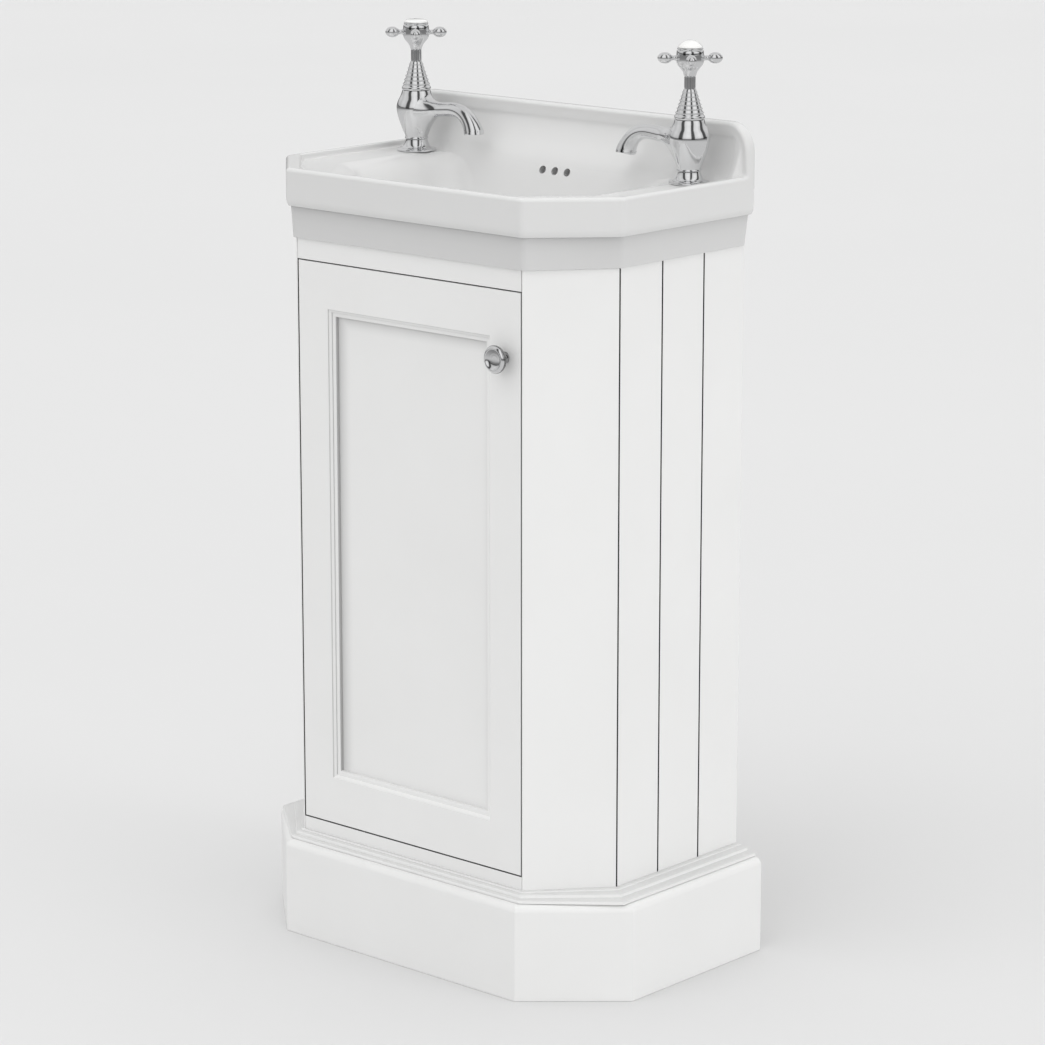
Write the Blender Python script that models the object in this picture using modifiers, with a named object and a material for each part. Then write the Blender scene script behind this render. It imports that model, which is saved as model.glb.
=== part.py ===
"""A traditional cloakroom vanity unit: painted cabinet, ceramic basin and two pillar taps.

Metres, +Z up. X runs along the front from left to right, the front faces -Y, the floor is z = 0,
and the origin is under the middle of the whole unit. All angles are in degrees until they are used.
"""
import math

import bmesh
import bpy
from mathutils import Matrix, Vector

# Overall heights
RIM_HEIGHT = 0.900
BAND_HEIGHT = 0.043
FOOT_BAND_HEIGHT = 0.0362
UPSTAND_HEIGHT = 0.058
CABINET_TOP = RIM_HEIGHT - BAND_HEIGHT - FOOT_BAND_HEIGHT

# Clearances
GAP = 0.0003
MITRE_GAP = 0.0002
OVERRUN = 0.004

# Outline of the plinth in plan: width, depth, and the cut of its front corners along X and along Y
PLINTH_WIDTH = 0.555
PLINTH_DEPTH = 0.317
PLINTH_CUT_X = 0.098
PLINTH_CUT_Y = 0.089

# How far each other outline lies inside the plinth's: at the sides, in front, and in its two cuts
MOULDING_SIDE = 0.0087
MOULDING_FRONT = 0.0085
MOULDING_CUT_X = 0.0078
MOULDING_CUT_Y = 0.0145
CABINET_SIDE = 0.0375
CABINET_FRONT = 0.023
CABINET_CUT_X = 0.030
CABINET_CUT_Y = 0.009
BASIN_FOOT_SIDE = 0.034
BASIN_FOOT_FRONT = 0.020
BASIN_FOOT_CUT_X = 0.0288
BASIN_FOOT_CUT_Y = 0.0055
BASIN_FOOT_TOP_SIDE = 0.0275
BASIN_FOOT_TOP_FRONT = 0.018
BASIN_FOOT_TOP_CUT_X = 0.025
BASIN_FOOT_TOP_CUT_Y = 0.010
BASIN_STEP_SIDE = 0.0235
BASIN_STEP_FRONT = 0.0152
BASIN_STEP_CUT_X = 0.0215
BASIN_STEP_CUT_Y = 0.0133
BASIN_BAND_SIDE = 0.021
BASIN_BAND_FRONT = 0.0128
BASIN_BAND_CUT_X = 0.019
BASIN_BAND_CUT_Y = 0.011
BASIN_RIM_SIDE = 0.023
BASIN_RIM_FRONT = 0.015
BASIN_RIM_CUT_X = 0.020
BASIN_RIM_CUT_Y = 0.012


def within_plinth(side, front, cut_x, cut_y):
    """A plan outline that lies inside the plinth's, as width, depth and its two cuts."""
    return PLINTH_WIDTH - 2 * side, PLINTH_DEPTH - front, PLINTH_CUT_X - cut_x, PLINTH_CUT_Y - cut_y


PLINTH = within_plinth(0, 0, 0, 0)
MOULDING = within_plinth(MOULDING_SIDE, MOULDING_FRONT, MOULDING_CUT_X, MOULDING_CUT_Y)
CABINET = within_plinth(CABINET_SIDE, CABINET_FRONT, CABINET_CUT_X, CABINET_CUT_Y)
BASIN_FOOT = within_plinth(BASIN_FOOT_SIDE, BASIN_FOOT_FRONT, BASIN_FOOT_CUT_X, BASIN_FOOT_CUT_Y)
BASIN_FOOT_TOP = within_plinth(BASIN_FOOT_TOP_SIDE, BASIN_FOOT_TOP_FRONT, BASIN_FOOT_TOP_CUT_X, BASIN_FOOT_TOP_CUT_Y)
BASIN_STEP = within_plinth(BASIN_STEP_SIDE, BASIN_STEP_FRONT, BASIN_STEP_CUT_X, BASIN_STEP_CUT_Y)
BASIN_BAND = within_plinth(BASIN_BAND_SIDE, BASIN_BAND_FRONT, BASIN_BAND_CUT_X, BASIN_BAND_CUT_Y)
BASIN_RIM = within_plinth(BASIN_RIM_SIDE, BASIN_RIM_FRONT, BASIN_RIM_CUT_X, BASIN_RIM_CUT_Y)
BACK = PLINTH[1] / 2
FRONT = BACK - CABINET[1]

# Cabinet boards
BOARD = 0.018
RAIL_THICKNESS = 0.020
FASCIA_END_GAP = 0.0008
GROOVE_WIDTH = 0.002
GROOVE_DEPTH = 0.003
SIDE_BOARDS = 3
POST_FACE = 0.00175
POST_EDGE = 0.028
POST_RETURN = 0.024
FASCIA_DEPTH = 0.0234
BOTTOM_RAIL_DEPTH = 0.050
FLOOR_BOARD = 0.016
REAR_RAIL_HEIGHT = 0.100
REAR_RAIL_THICKNESS = 0.016
REAR_RAIL_FOOT = 0.020
SHELF_HEIGHT = 0.430
SHELF_THICKNESS = 0.016
SHELF_SETBACK = 0.0277
SHELF_SIDE_GAP = 0.001
CLEAT_HEIGHT = 0.020
CLEAT_THICKNESS = 0.012
CLEAT_SHARE = 0.85

# Plinth
SKIRTING_HEIGHT = 0.112
SKIRTING_THICKNESS = 0.018
SKIRTING_NOSING = 0.009
MOULDING_HEIGHT = 0.0104
BATTEN_FOOT = 0.050
BATTEN_HEIGHT = 0.040
BATTEN_SHARE = 0.80

# Door
DOOR_GAP = 0.0015
DOOR_SILL = 0.1393
DOOR_THICKNESS = 0.020
STILE_WIDTH = 0.0455
TOP_RAIL_WIDTH = 0.0518
BOTTOM_RAIL_WIDTH = 0.0545
PANEL_RECESS = 0.0065
PANEL_THICKNESS = 0.006
PANEL_TONGUE = 0.007
BEAD_WIDTH = 0.0092

# Knob, turned about an axis along Y
KNOB_DROP = 0.073
KNOB_FACE_RADIUS = 0.0155
KNOB_STEM_RADIUS = 0.0048
KNOB_FOOT_RADIUS = 0.0066
KNOB_REACH = 0.020
KNOB_SCREW_RADIUS = 0.002
KNOB_SCREW_HEAD_RADIUS = 0.0040
KNOB_SCREW_HEAD = 0.0022
KNOB_SCREW_GRIP = 0.008

# Pivot pins pressed into the rails, and bushes pressed into the top and bottom edges of the door
PIVOT_FROM_EDGE = 0.008
PIVOT_FROM_FACE = 0.0045
PIVOT_RADIUS = 0.0019
PIVOT_COLLAR_RADIUS = 0.0036
PIVOT_COLLAR = 0.0009
PIVOT_STEM = 0.0120
PIVOT_REACH = 0.0090
BUSH_RADIUS = 0.0033
BUSH_LENGTH = 0.0110
BUSH_BOTTOM = 0.0010

# Magnetic catch behind the fascia rail
CATCH_INSET = 0.05375
CATCH_LENGTH = 0.044
CATCH_DEPTH = 0.0140
CATCH_DROP = 0.020
CATCH_RISE = 0.0100
STRIKE_LENGTH = 0.036
STRIKE_HEIGHT = 0.014
STRIKE_THICKNESS = 0.0012

# Basin
LIP_WIDTH = 0.0075
STEP_SLOPE = 0.0010
DECK_DROP = 0.007
DECK_THICKNESS = 0.012
APRON_THICKNESS = 0.012
BAND_BEVEL = 0.011
ARRIS = 0.004
UPSTAND_THICKNESS = 0.016
UPSTAND_CORNER = 0.026
UPSTAND_RECESS = 0.004
UPSTAND_BORDER = 0.017
CORNER_STEPS = 6
BOWL_DEPTH = 0.108
BOWL_SHELL = 0.010
BOWL_SIDE_MARGIN = 0.0835
BOWL_BACK = 0.033
BOWL_FRONT_MARGIN = 0.0232
SPANNER_ROOM = 0.0124
MOUTH_FLARE_SHARE = 0.108
BOWL_LEVEL_SHARES = ((0.00, 1.00, 1.00), (0.21, 0.92, 0.88), (0.62, 0.78, 0.74), (0.88, 0.66, 0.62), (1.00, 0.46, 0.46))
OVERFLOW_RADIUS = 0.0043
OVERFLOW_SPACING = 0.0185
OVERFLOW_DROP = 0.009
TAP_HOLE_RADIUS = 0.014
WASTE_HOLE_RADIUS = 0.0225

# Waste fitting
WASTE_FLANGE_RADIUS = 0.032
WASTE_FLANGE = 0.003
WASTE_TUBE_RADIUS = 0.020
WASTE_BORE_RADIUS = 0.0165
WASTE_LENGTH = 0.072
WASTE_BRIDGE = 0.006
WASTE_BRIDGE_DROP = 0.030
WASTE_SPOKE = 0.0045
PLUG_RADIUS = 0.027
PLUG_THICKNESS = 0.004
PLUG_CROWN = 0.0025
PLUG_STEM_RADIUS = 0.004
PLUG_BOSS_RADIUS = 0.0075
PLUG_TRAVEL = 0.008
WASTE_SEAL = 0.003
WASTE_NUT = 0.010
WASTE_NUT_RADIUS = 0.0275

# Pillar taps: heights above the deck, radii about the tap's own axis
TAP_FROM_SIDE = 0.0495
TAP_FROM_BACK = 0.058
TAP_FLANGE_RADIUS = 0.0229
TAP_FLANGE_EDGE = 0.0020
TAP_WAIST_RADIUS = 0.0127
TAP_WAIST_HEIGHT = 0.0155
TAP_BELLY_RADIUS = 0.0233
TAP_BELLY_HEIGHT = 0.053
TAP_SHOULDER_RADIUS = 0.0165
TAP_SHOULDER_HEIGHT = 0.0712
TAP_TAIL_RADIUS = 0.0103
TAP_TAIL_LENGTH = 0.052
TAP_TAIL_BORE = 0.0062
SPOUT_REACH = 0.093
SPOUT_HEIGHT = 0.0505
SPOUT_MOUTH_HEIGHT = 0.024
SPOUT_RADIUS = 0.0084
SPOUT_ROOT_RADIUS = 0.0115
SPOUT_MOUTH_RADIUS = 0.0122
NOZZLE_RADIUS = 0.0098
NOZZLE_DEPTH = 0.008
SHROUD_RADIUS = 0.0168
SHROUD_TOP_RADIUS = 0.0070
SHROUD_HEIGHT = 0.0335
SHROUD_RIBS = 5
SHROUD_RIB_SHARE = 0.07
SHROUD_GROOVE_SHARE = 0.15
SPINDLE_RADIUS = 0.0042
SPINDLE_DROP = 0.048
STEM_RADIUS = 0.0062
STEM_HEIGHT = 0.0135
STEM_SIDES = 8
HUB_RADIUS = 0.0147
HUB_TAPER = 0.0160
HUB_HEIGHT = 0.0315
HUB_SOCKET = 0.009
ARM_HEIGHT = 0.0195
ARM_REACH = 0.0358
ARM_RADIUS = 0.0024
ARM_BALL_LENGTH = 0.0150
ARM_BALL_RADIUS = 0.0061
ARM_COUNT = 4
HANDLE_TURN = 42.0
INDEX_RADIUS = 0.0122
INDEX_SEAT = 0.0012
INDEX_FLAT = 0.0040
INDEX_DOME = 0.0085
TAP_NUT_RADIUS = 0.0165
TAP_NUT = 0.007

# Facets
ROUND = 24
SMALL_ROUND = 12
NUT_SIDES = 6

# Directions for cuts that run along an axis
ALONG_X = Matrix.Rotation(math.radians(90), 4, "Y")
ALONG_Y = Matrix.Rotation(math.radians(90), 4, "X")


# Scene and materials

def clear_scene():
    """Remove every object, so that the file can be run again."""
    for item in list(bpy.data.objects):
        bpy.data.objects.remove(item, do_unlink=True)


def collection(name):
    """Make a collection and hang it in the scene."""
    group = bpy.data.collections.new(name)
    bpy.context.scene.collection.children.link(group)
    return group


def material(name, colour, roughness, metallic=0.0):
    """One Principled material."""
    finish = bpy.data.materials.new(name)
    finish.use_nodes = True
    shader = finish.node_tree.nodes["Principled BSDF"]
    shader.inputs["Base Color"].default_value = (*colour, 1.0)
    shader.inputs["Roughness"].default_value = roughness
    shader.inputs["Metallic"].default_value = metallic
    finish.diffuse_color = (*colour, 1.0)
    return finish


clear_scene()
PARTS = collection("vanity_unit")
CUTTERS = collection("cutters")
PAINT = material("white_paint", (0.80, 0.80, 0.79), 0.40)
RAW_BOARD = material("white_board", (0.74, 0.73, 0.71), 0.55)
CERAMIC = material("white_ceramic", (0.82, 0.82, 0.81), 0.10)
CHROME = material("chrome", (0.78, 0.78, 0.79), 0.08, 1.0)
BRASS = material("brass", (0.72, 0.55, 0.28), 0.30, 1.0)
STEEL = material("zinc_steel", (0.60, 0.60, 0.61), 0.35, 1.0)
RUBBER = material("rubber", (0.05, 0.05, 0.05), 0.70)
INDEX_WHITE = material("index_china", (0.85, 0.85, 0.84), 0.15)


# Modelling helpers

def place(name, mesh, finish, group=None):
    """Put a mesh in the scene as one named object."""
    body = bpy.data.objects.new(name, mesh)
    body.data.materials.append(finish)
    (group or PARTS).objects.link(body)
    return body


def smooth(body):
    """Shade a round piece smooth and keep its sharp edges."""
    body.data.shade_smooth()
    body.data.set_sharp_from_angle(angle=math.radians(35))
    return body


def box(name, low, high, finish, group=None):
    """A rectangular block between two corners."""
    shape = bmesh.new()
    bmesh.ops.create_cube(shape, size=1.0)
    size = Vector(high) - Vector(low)
    middle = (Vector(high) + Vector(low)) / 2
    bmesh.ops.scale(shape, vec=size, verts=shape.verts)
    bmesh.ops.translate(shape, vec=middle, verts=shape.verts)
    mesh = bpy.data.meshes.new(name)
    shape.to_mesh(mesh)
    shape.free()
    return place(name, mesh, finish, group)


def plate(name, outline, low, high, finish, turn=None, group=None):
    """A flat outline given thickness from low to high, then turned as a whole."""
    curve = bpy.data.curves.new(name, "CURVE")
    curve.dimensions = "2D"
    curve.fill_mode = "BOTH"
    curve.extrude = (high - low) / 2
    spline = curve.splines.new("POLY")
    spline.points.add(len(outline) - 1)
    for point, (across, along) in zip(spline.points, outline):
        point.co = (across, along, 0, 1)
    spline.use_cyclic_u = True
    body = bpy.data.objects.new(name, curve)
    body.matrix_world = (turn or Matrix()) @ Matrix.Translation((0, 0, (high + low) / 2))
    (group or PARTS).objects.link(body)
    return as_mesh(body, finish, group)


def as_mesh(body, finish, group=None):
    """Turn a curve object into a closed mesh object with the same name."""
    bpy.context.view_layer.update()
    name = body.name
    matrix = body.matrix_world.copy()
    mesh = bpy.data.meshes.new_from_object(body.evaluated_get(bpy.context.evaluated_depsgraph_get()))
    bpy.data.objects.remove(body, do_unlink=True)
    shape = bmesh.new()
    shape.from_mesh(mesh)
    bmesh.ops.remove_doubles(shape, verts=shape.verts, dist=GAP / 10)
    bmesh.ops.recalc_face_normals(shape, faces=shape.faces)
    shape.to_mesh(mesh)
    shape.free()
    mesh.materials.clear()
    solid = place(name, mesh, finish, group)
    solid.matrix_world = matrix
    return solid


def loft(name, sections, finish, group=None):
    """A solid through unlike sections that have the same number of points."""
    shape = bmesh.new()
    rings = [[shape.verts.new(point) for point in section] for section in sections]
    for lower, upper in zip(rings, rings[1:]):
        for index in range(len(lower)):
            after = (index + 1) % len(lower)
            shape.faces.new((lower[index], lower[after], upper[after], upper[index]))
    shape.faces.new(rings[0])
    shape.faces.new(rings[-1])
    bmesh.ops.recalc_face_normals(shape, faces=shape.faces)
    mesh = bpy.data.meshes.new(name)
    shape.to_mesh(mesh)
    shape.free()
    return place(name, mesh, finish, group)


def turned(name, profile, where, finish, steps=ROUND, turn=None, group=None):
    """A solid of revolution: radius and height pairs, from the top down its outer side."""
    mesh = bpy.data.meshes.new(name)
    points = [(radius, 0, height) for radius, height in profile]
    closed = profile[0][0] > 0
    edges = [(index, index + 1) for index in range(len(points) - 1)]
    if closed:
        edges.append((len(points) - 1, 0))
    mesh.from_pydata(points, edges, [])
    body = place(name, mesh, finish, group)
    body.matrix_world = Matrix.Translation(where) @ (turn or Matrix())
    screw = body.modifiers.new("turn", "SCREW")
    screw.steps = steps
    screw.render_steps = steps
    screw.use_merge_vertices = True
    screw.merge_threshold = GAP / 10
    screw.use_smooth_shade = True
    return body


def rod(name, radius, low, high, where, finish, steps=SMALL_ROUND, turn=None, group=None):
    """A plain round bar between two heights along its own axis."""
    profile = [(0, high), (radius, high), (radius, low), (0, low)]
    return turned(name, profile, where, finish, steps, turn, group)


def cut(body, cutter, operation="DIFFERENCE"):
    """Cut a piece by another, or join the two, with an exact Boolean."""
    if cutter.name not in CUTTERS.objects:
        PARTS.objects.unlink(cutter)
        CUTTERS.objects.link(cutter)
    cutter.hide_render = True
    cutter.display_type = "WIRE"
    step = body.modifiers.new("cut", "BOOLEAN")
    step.operation = operation
    step.solver = "EXACT"
    step.object = cutter


def bore(bodies, radius, low, high, where, turn=None, steps=SMALL_ROUND):
    """Drill one round hole through each of the bodies."""
    drill = rod("drill", radius, low, high, where, STEEL, steps, turn, CUTTERS)
    for body in bodies:
        cut(body, drill)


def nut(name, radius, hole, low, high, where, sides):
    """A nut with flat sides and a round hole."""
    body = rod(name, radius, low, high, where, BRASS, sides)
    bore([body], hole, low - OVERRUN, high + OVERRUN, where, steps=ROUND)


# Plan outlines

def corners(plan):
    """The six corners of a plan outline, from the back left round the front to the back right."""
    width, depth, cut_x, cut_y = plan
    half = width / 2
    nose = BACK - depth
    right = [(half - cut_x, nose), (half, nose + cut_y), (half, BACK)]
    left = [(-x, y) for x, y in reversed(right)]
    return [Vector(point) for point in left + right]


def inset(outline, amount):
    """Move the five sides of an outline inwards; its two ends stay on the back plane."""
    normals = []
    for start, end in zip(outline, outline[1:]):
        along = (end - start).normalized()
        normals.append(Vector((-along.y, along.x)))
    moved = [outline[0] + normals[0] * amount]
    for index in range(1, len(outline) - 1):
        first, second = normals[index - 1], normals[index]
        moved.append(outline[index] + (first + second) * amount / (1 + first.dot(second)))
    moved.append(outline[-1] + normals[-1] * amount)
    return moved


def flat(outline, height):
    """Lift a plan outline to a height."""
    return [(point.x, point.y, height) for point in outline]


def mitred(name, inner, outer, profile, side, finish):
    """One straight board of the plinth: its profile runs from the inner outline to the outer one."""
    along = (outer[side + 1] - outer[side]).normalized()
    ends = []
    for corner, direction in ((side, 1), (side + 1, -1)):
        at_wall = corner in (0, len(outer) - 1)
        shift = along * (0 if at_wall else MITRE_GAP * direction)
        section = []
        for share, height in profile:
            spot = inner[corner].lerp(outer[corner], share) + shift
            section.append((spot.x, spot.y, height))
        ends.append(section)
    return loft(name, ends, finish)


SIDE_NAMES = ("left_side", "left_chamfer", "front", "right_chamfer", "right_side")
CABINET_LINE = corners(CABINET)
HALF_CABINET = CABINET[0] / 2
SHOULDER_Y = CABINET_LINE[4].y
OPENING_HALF = HALF_CABINET - CABINET[2] - POST_FACE


# Plinth

def skirting_profile():
    """Board section as shares of its thickness and heights, with a rounded top edge."""
    share = SKIRTING_NOSING / SKIRTING_THICKNESS
    profile = [(0, 0), (1, 0)]
    for step in range(CORNER_STEPS + 1):
        angle = math.radians(90 * step / CORNER_STEPS)
        profile.append((1 - share * (1 - math.cos(angle)), SKIRTING_HEIGHT - SKIRTING_NOSING * (1 - math.sin(angle))))
    profile.append((0, SKIRTING_HEIGHT))
    return profile


MOULDING_SHARES = (
    (0.00, 0.00), (0.93, 0.00), (0.96, 0.14), (0.93, 0.34), (0.84, 0.42), (0.52, 0.46),
    (0.50, 0.70), (0.44, 0.88), (0.34, 0.96), (0.06, 1.00), (0.00, 1.00),
)


def plinth():
    """Five mitred skirting boards, five lengths of moulding over them, and their packers."""
    outer = corners(PLINTH)
    inner = inset(outer, SKIRTING_THICKNESS)
    face = inset(CABINET_LINE, -GAP)
    moulding_line = corners(MOULDING)
    foot = SKIRTING_HEIGHT + GAP
    moulding = [(share, foot + MOULDING_HEIGHT * rise) for share, rise in MOULDING_SHARES]
    for side, name in enumerate(SIDE_NAMES):
        mitred("skirting_" + name, inner, outer, skirting_profile(), side, PAINT)
        mitred("moulding_" + name, face, moulding_line, moulding, side, PAINT)
    battens(inner)


def battens(inner):
    """Battens between the skirting and the cabinet: one each side and one in front."""
    low = BATTEN_FOOT
    high = BATTEN_FOOT + BATTEN_HEIGHT
    length = (BACK - SHOULDER_Y) * BATTEN_SHARE
    start = BACK - length
    for hand, word in ((-1, "left"), (1, "right")):
        near = hand * (HALF_CABINET + GAP)
        far = hand * (inner[-1].x - GAP)
        box("plinth_batten_" + word, (min(near, far), start, low), (max(near, far), BACK, high), RAW_BOARD)
    reach = OPENING_HALF * BATTEN_SHARE
    box("plinth_batten_front", (-reach, inner[2].y + GAP, low), (reach, FRONT - GAP, high), RAW_BOARD)


# Cabinet

def side_panel(hand, name):
    """A side panel lined as three upright boards, with grooves that open outwards."""
    span = BACK - SHOULDER_Y
    near = hand * (HALF_CABINET - BOARD)
    floor_of_groove = hand * (HALF_CABINET - GROOVE_DEPTH)
    face = hand * HALF_CABINET
    outline = [(near, SHOULDER_Y + GAP), (floor_of_groove, SHOULDER_Y + GAP),
               (floor_of_groove, SHOULDER_Y + GROOVE_WIDTH), (face, SHOULDER_Y + GROOVE_WIDTH)]
    for board in range(1, SIDE_BOARDS):
        middle = SHOULDER_Y + span * board / SIDE_BOARDS
        for inner, along in ((face, -1), (floor_of_groove, -1), (floor_of_groove, 1), (face, 1)):
            outline.append((inner, middle + along * GROOVE_WIDTH / 2))
    outline += [(face, BACK), (near, BACK)]
    return plate(name, outline, 0, CABINET_TOP, PAINT)


def corner_post(hand, name):
    """A post whose outer face cuts the corner off; its narrow edge frames the door."""
    outline = [(OPENING_HALF, FRONT), (CABINET_LINE[3].x, FRONT), (HALF_CABINET, SHOULDER_Y),
               (HALF_CABINET - POST_RETURN, SHOULDER_Y), (OPENING_HALF, FRONT + POST_EDGE)]
    return plate(name, [(hand * x, y) for x, y in outline], 0, CABINET_TOP, PAINT)


def cabinet():
    """Posts, sides, rails, floor, and the shelf on its cleats."""
    for hand, word in ((-1, "left"), (1, "right")):
        side_panel(hand, "side_panel_" + word)
        corner_post(hand, "corner_post_" + word)
    reach = OPENING_HALF - GAP
    rail_back = FRONT + RAIL_THICKNESS
    end = OPENING_HALF - FASCIA_END_GAP
    box("fascia_rail", (-end, FRONT, CABINET_TOP - FASCIA_DEPTH), (end, rail_back, CABINET_TOP), PAINT)
    sill = DOOR_SILL - DOOR_GAP
    box("bottom_rail", (-reach, FRONT, sill - BOTTOM_RAIL_DEPTH), (reach, rail_back, sill), PAINT)
    cabinet_floor(reach, rail_back + GAP, sill)
    rear_rails()
    shelf()


def cabinet_floor(reach, nose, top):
    """The floor board, cut round the corner posts."""
    side = HALF_CABINET - BOARD - GAP
    right = [(reach, nose), (reach, FRONT + POST_EDGE + GAP), (HALF_CABINET - POST_RETURN, SHOULDER_Y + GAP),
             (side, SHOULDER_Y + GAP), (side, BACK - REAR_RAIL_THICKNESS - GAP)]
    outline = right + [(-x, y) for x, y in reversed(right)]
    plate("cabinet_floor", outline, top - FLOOR_BOARD, top, RAW_BOARD)


def rear_rails():
    """Two rails that leave the back open for pipes; their backs lie on the wall."""
    side = HALF_CABINET - BOARD - GAP
    nose = BACK - REAR_RAIL_THICKNESS
    top = CABINET_TOP
    box("rear_rail_top", (-side, nose, top - REAR_RAIL_HEIGHT), (side, BACK, top), RAW_BOARD)
    foot = REAR_RAIL_FOOT
    box("rear_rail_bottom", (-side, nose, foot), (side, BACK, foot + REAR_RAIL_HEIGHT + OVERRUN), RAW_BOARD)


def shelf():
    """A loose shelf on two cleats."""
    side = HALF_CABINET - BOARD
    rear = BACK - REAR_RAIL_THICKNESS - GAP
    nose = SHOULDER_Y + SHELF_SETBACK
    reach = side - SHELF_SIDE_GAP
    box("shelf", (-reach, nose, SHELF_HEIGHT), (reach, rear, SHELF_HEIGHT + SHELF_THICKNESS), RAW_BOARD)
    top = SHELF_HEIGHT - GAP
    start = rear - (rear - nose) * CLEAT_SHARE
    for hand, word in ((-1, "left"), (1, "right")):
        near = hand * (side - GAP)
        far = hand * (side - GAP - CLEAT_THICKNESS)
        box("shelf_cleat_" + word, (min(near, far), start, top - CLEAT_HEIGHT), (max(near, far), rear, top), RAW_BOARD)


# Door

DOOR_HALF = OPENING_HALF - DOOR_GAP
DOOR_TOP = CABINET_TOP - FASCIA_DEPTH - DOOR_GAP
DOOR_BACK = FRONT + DOOR_THICKNESS
PANEL_SIDE = DOOR_HALF - STILE_WIDTH
PANEL_LOW = DOOR_SILL + BOTTOM_RAIL_WIDTH
PANEL_HIGH = DOOR_TOP - TOP_RAIL_WIDTH
PIVOT_X = -(DOOR_HALF - PIVOT_FROM_EDGE)
PIVOT_Y = FRONT + PIVOT_FROM_FACE
DOOR_AXIS = bpy.data.objects.new("door_axis", None)
PARTS.objects.link(DOOR_AXIS)
DOOR_AXIS.location = (PIVOT_X, PIVOT_Y, DOOR_SILL)


def hang(body, axis):
    """Parent a piece to its joint's empty without moving it."""
    bpy.context.view_layer.update()
    body.parent = axis
    body.matrix_parent_inverse = axis.matrix_world.inverted()
    return body


def grooved(inner, outer):
    """Section of a stile or rail: across it and through its thickness, with the panel's groove."""
    slot = inner + math.copysign(PANEL_TONGUE, outer - inner)
    near = FRONT + PANEL_RECESS - GAP
    far = FRONT + PANEL_RECESS + PANEL_THICKNESS + GAP
    return [(inner, FRONT), (outer, FRONT), (outer, DOOR_BACK), (inner, DOOR_BACK),
            (inner, far), (slot, far), (slot, near), (inner, near)]


def door():
    """Stiles, rails, panel and the stepped bead round it."""
    leaves = {}
    for hand, name in ((-1, "door_stile_hinge"), (1, "door_stile_knob")):
        section = grooved(hand * PANEL_SIDE, hand * DOOR_HALF)
        leaves[name] = plate(name, section, DOOR_SILL, DOOR_TOP, PAINT)
    reach = PANEL_SIDE - GAP
    lay = Matrix(((0, 0, 1, 0), (0, 1, 0, 0), (1, 0, 0, 0), (0, 0, 0, 1)))
    for name, inner, outer in (("door_rail_top", PANEL_HIGH, DOOR_TOP), ("door_rail_bottom", PANEL_LOW, DOOR_SILL)):
        leaves[name] = plate(name, grooved(inner, outer), -reach, reach, PAINT, turn=lay)
    edge = PANEL_TONGUE - GAP
    front = FRONT + PANEL_RECESS
    low = (-PANEL_SIDE - edge, front, PANEL_LOW - edge)
    high = (PANEL_SIDE + edge, front + PANEL_THICKNESS, PANEL_HIGH + edge)
    leaves["door_panel"] = box("door_panel", low, high, PAINT)
    for leaf in list(leaves.values()) + door_beads():
        hang(leaf, DOOR_AXIS)
    return leaves


BEAD_SHARES = ((0.00, 0.12), (0.34, 0.12), (0.44, 0.22), (0.46, 0.46), (0.76, 0.50), (0.92, 0.64), (1.00, 1.00), (0.00, 1.00))


def door_beads():
    """Four mitred lengths of stepped bead between the frame and the panel."""
    side = PANEL_SIDE - GAP
    low = PANEL_LOW + GAP
    high = PANEL_HIGH - GAP
    depth = PANEL_RECESS - GAP
    spots = [Vector((-side, low)), Vector((side, low)), Vector((side, high)), Vector((-side, high))]
    middle = (spots[0] + spots[2]) / 2
    pieces = []
    for index, name in enumerate(("bottom", "right", "top", "left")):
        start, end = spots[index], spots[(index + 1) % len(spots)]
        along = (end - start).normalized()
        ends = []
        for spot, direction in ((start, 1), (end, -1)):
            towards = Vector((math.copysign(1, middle.x - spot.x), math.copysign(1, middle.y - spot.y)))
            section = []
            for share, sink in BEAD_SHARES:
                point = spot + towards * BEAD_WIDTH * share + along * MITRE_GAP * direction
                section.append((point.x, FRONT + depth * sink, point.y))
            ends.append(section)
        pieces.append(loft("door_bead_" + name, ends, PAINT))
    return pieces


def knob(stile):
    """A dished round knob on a short stem, held by a screw from behind the stile."""
    where = ((DOOR_HALF + PANEL_SIDE) / 2, FRONT, DOOR_TOP - KNOB_DROP)
    face = KNOB_FACE_RADIUS
    reach = KNOB_REACH
    stem = KNOB_STEM_RADIUS
    seat = KNOB_REACH / 2
    hole = KNOB_SCREW_RADIUS + GAP
    grip = KNOB_SCREW_GRIP
    head = [(0, reach * 0.90), (face * 0.62, reach * 0.92), (face * 0.76, reach), (face * 0.90, reach * 0.98),
            (face, reach * 0.84), (face * 0.97, reach * 0.74), (face * 0.60, reach * 0.60), (stem, seat),
            (stem, reach * 0.13), (KNOB_FOOT_RADIUS, reach * 0.09), (KNOB_FOOT_RADIUS, GAP), (hole, GAP),
            (hole, grip + GAP), (0, grip + GAP)]
    body = turned("knob", head, where, CHROME, turn=ALONG_Y)
    top = DOOR_THICKNESS + GAP
    radius = KNOB_SCREW_RADIUS
    wide = KNOB_SCREW_HEAD_RADIUS
    shape = [(0, grip), (radius, grip), (radius, -top), (wide, -top), (wide, -top - KNOB_SCREW_HEAD),
             (0, -top - KNOB_SCREW_HEAD)]
    screw = turned("knob_screw", shape, where, STEEL, SMALL_ROUND, ALONG_Y)
    bore([stile], radius + GAP, -DOOR_THICKNESS - OVERRUN, OVERRUN, where, ALONG_Y)
    for piece in (body, screw):
        hang(piece, DOOR_AXIS)


# Pivots

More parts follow.
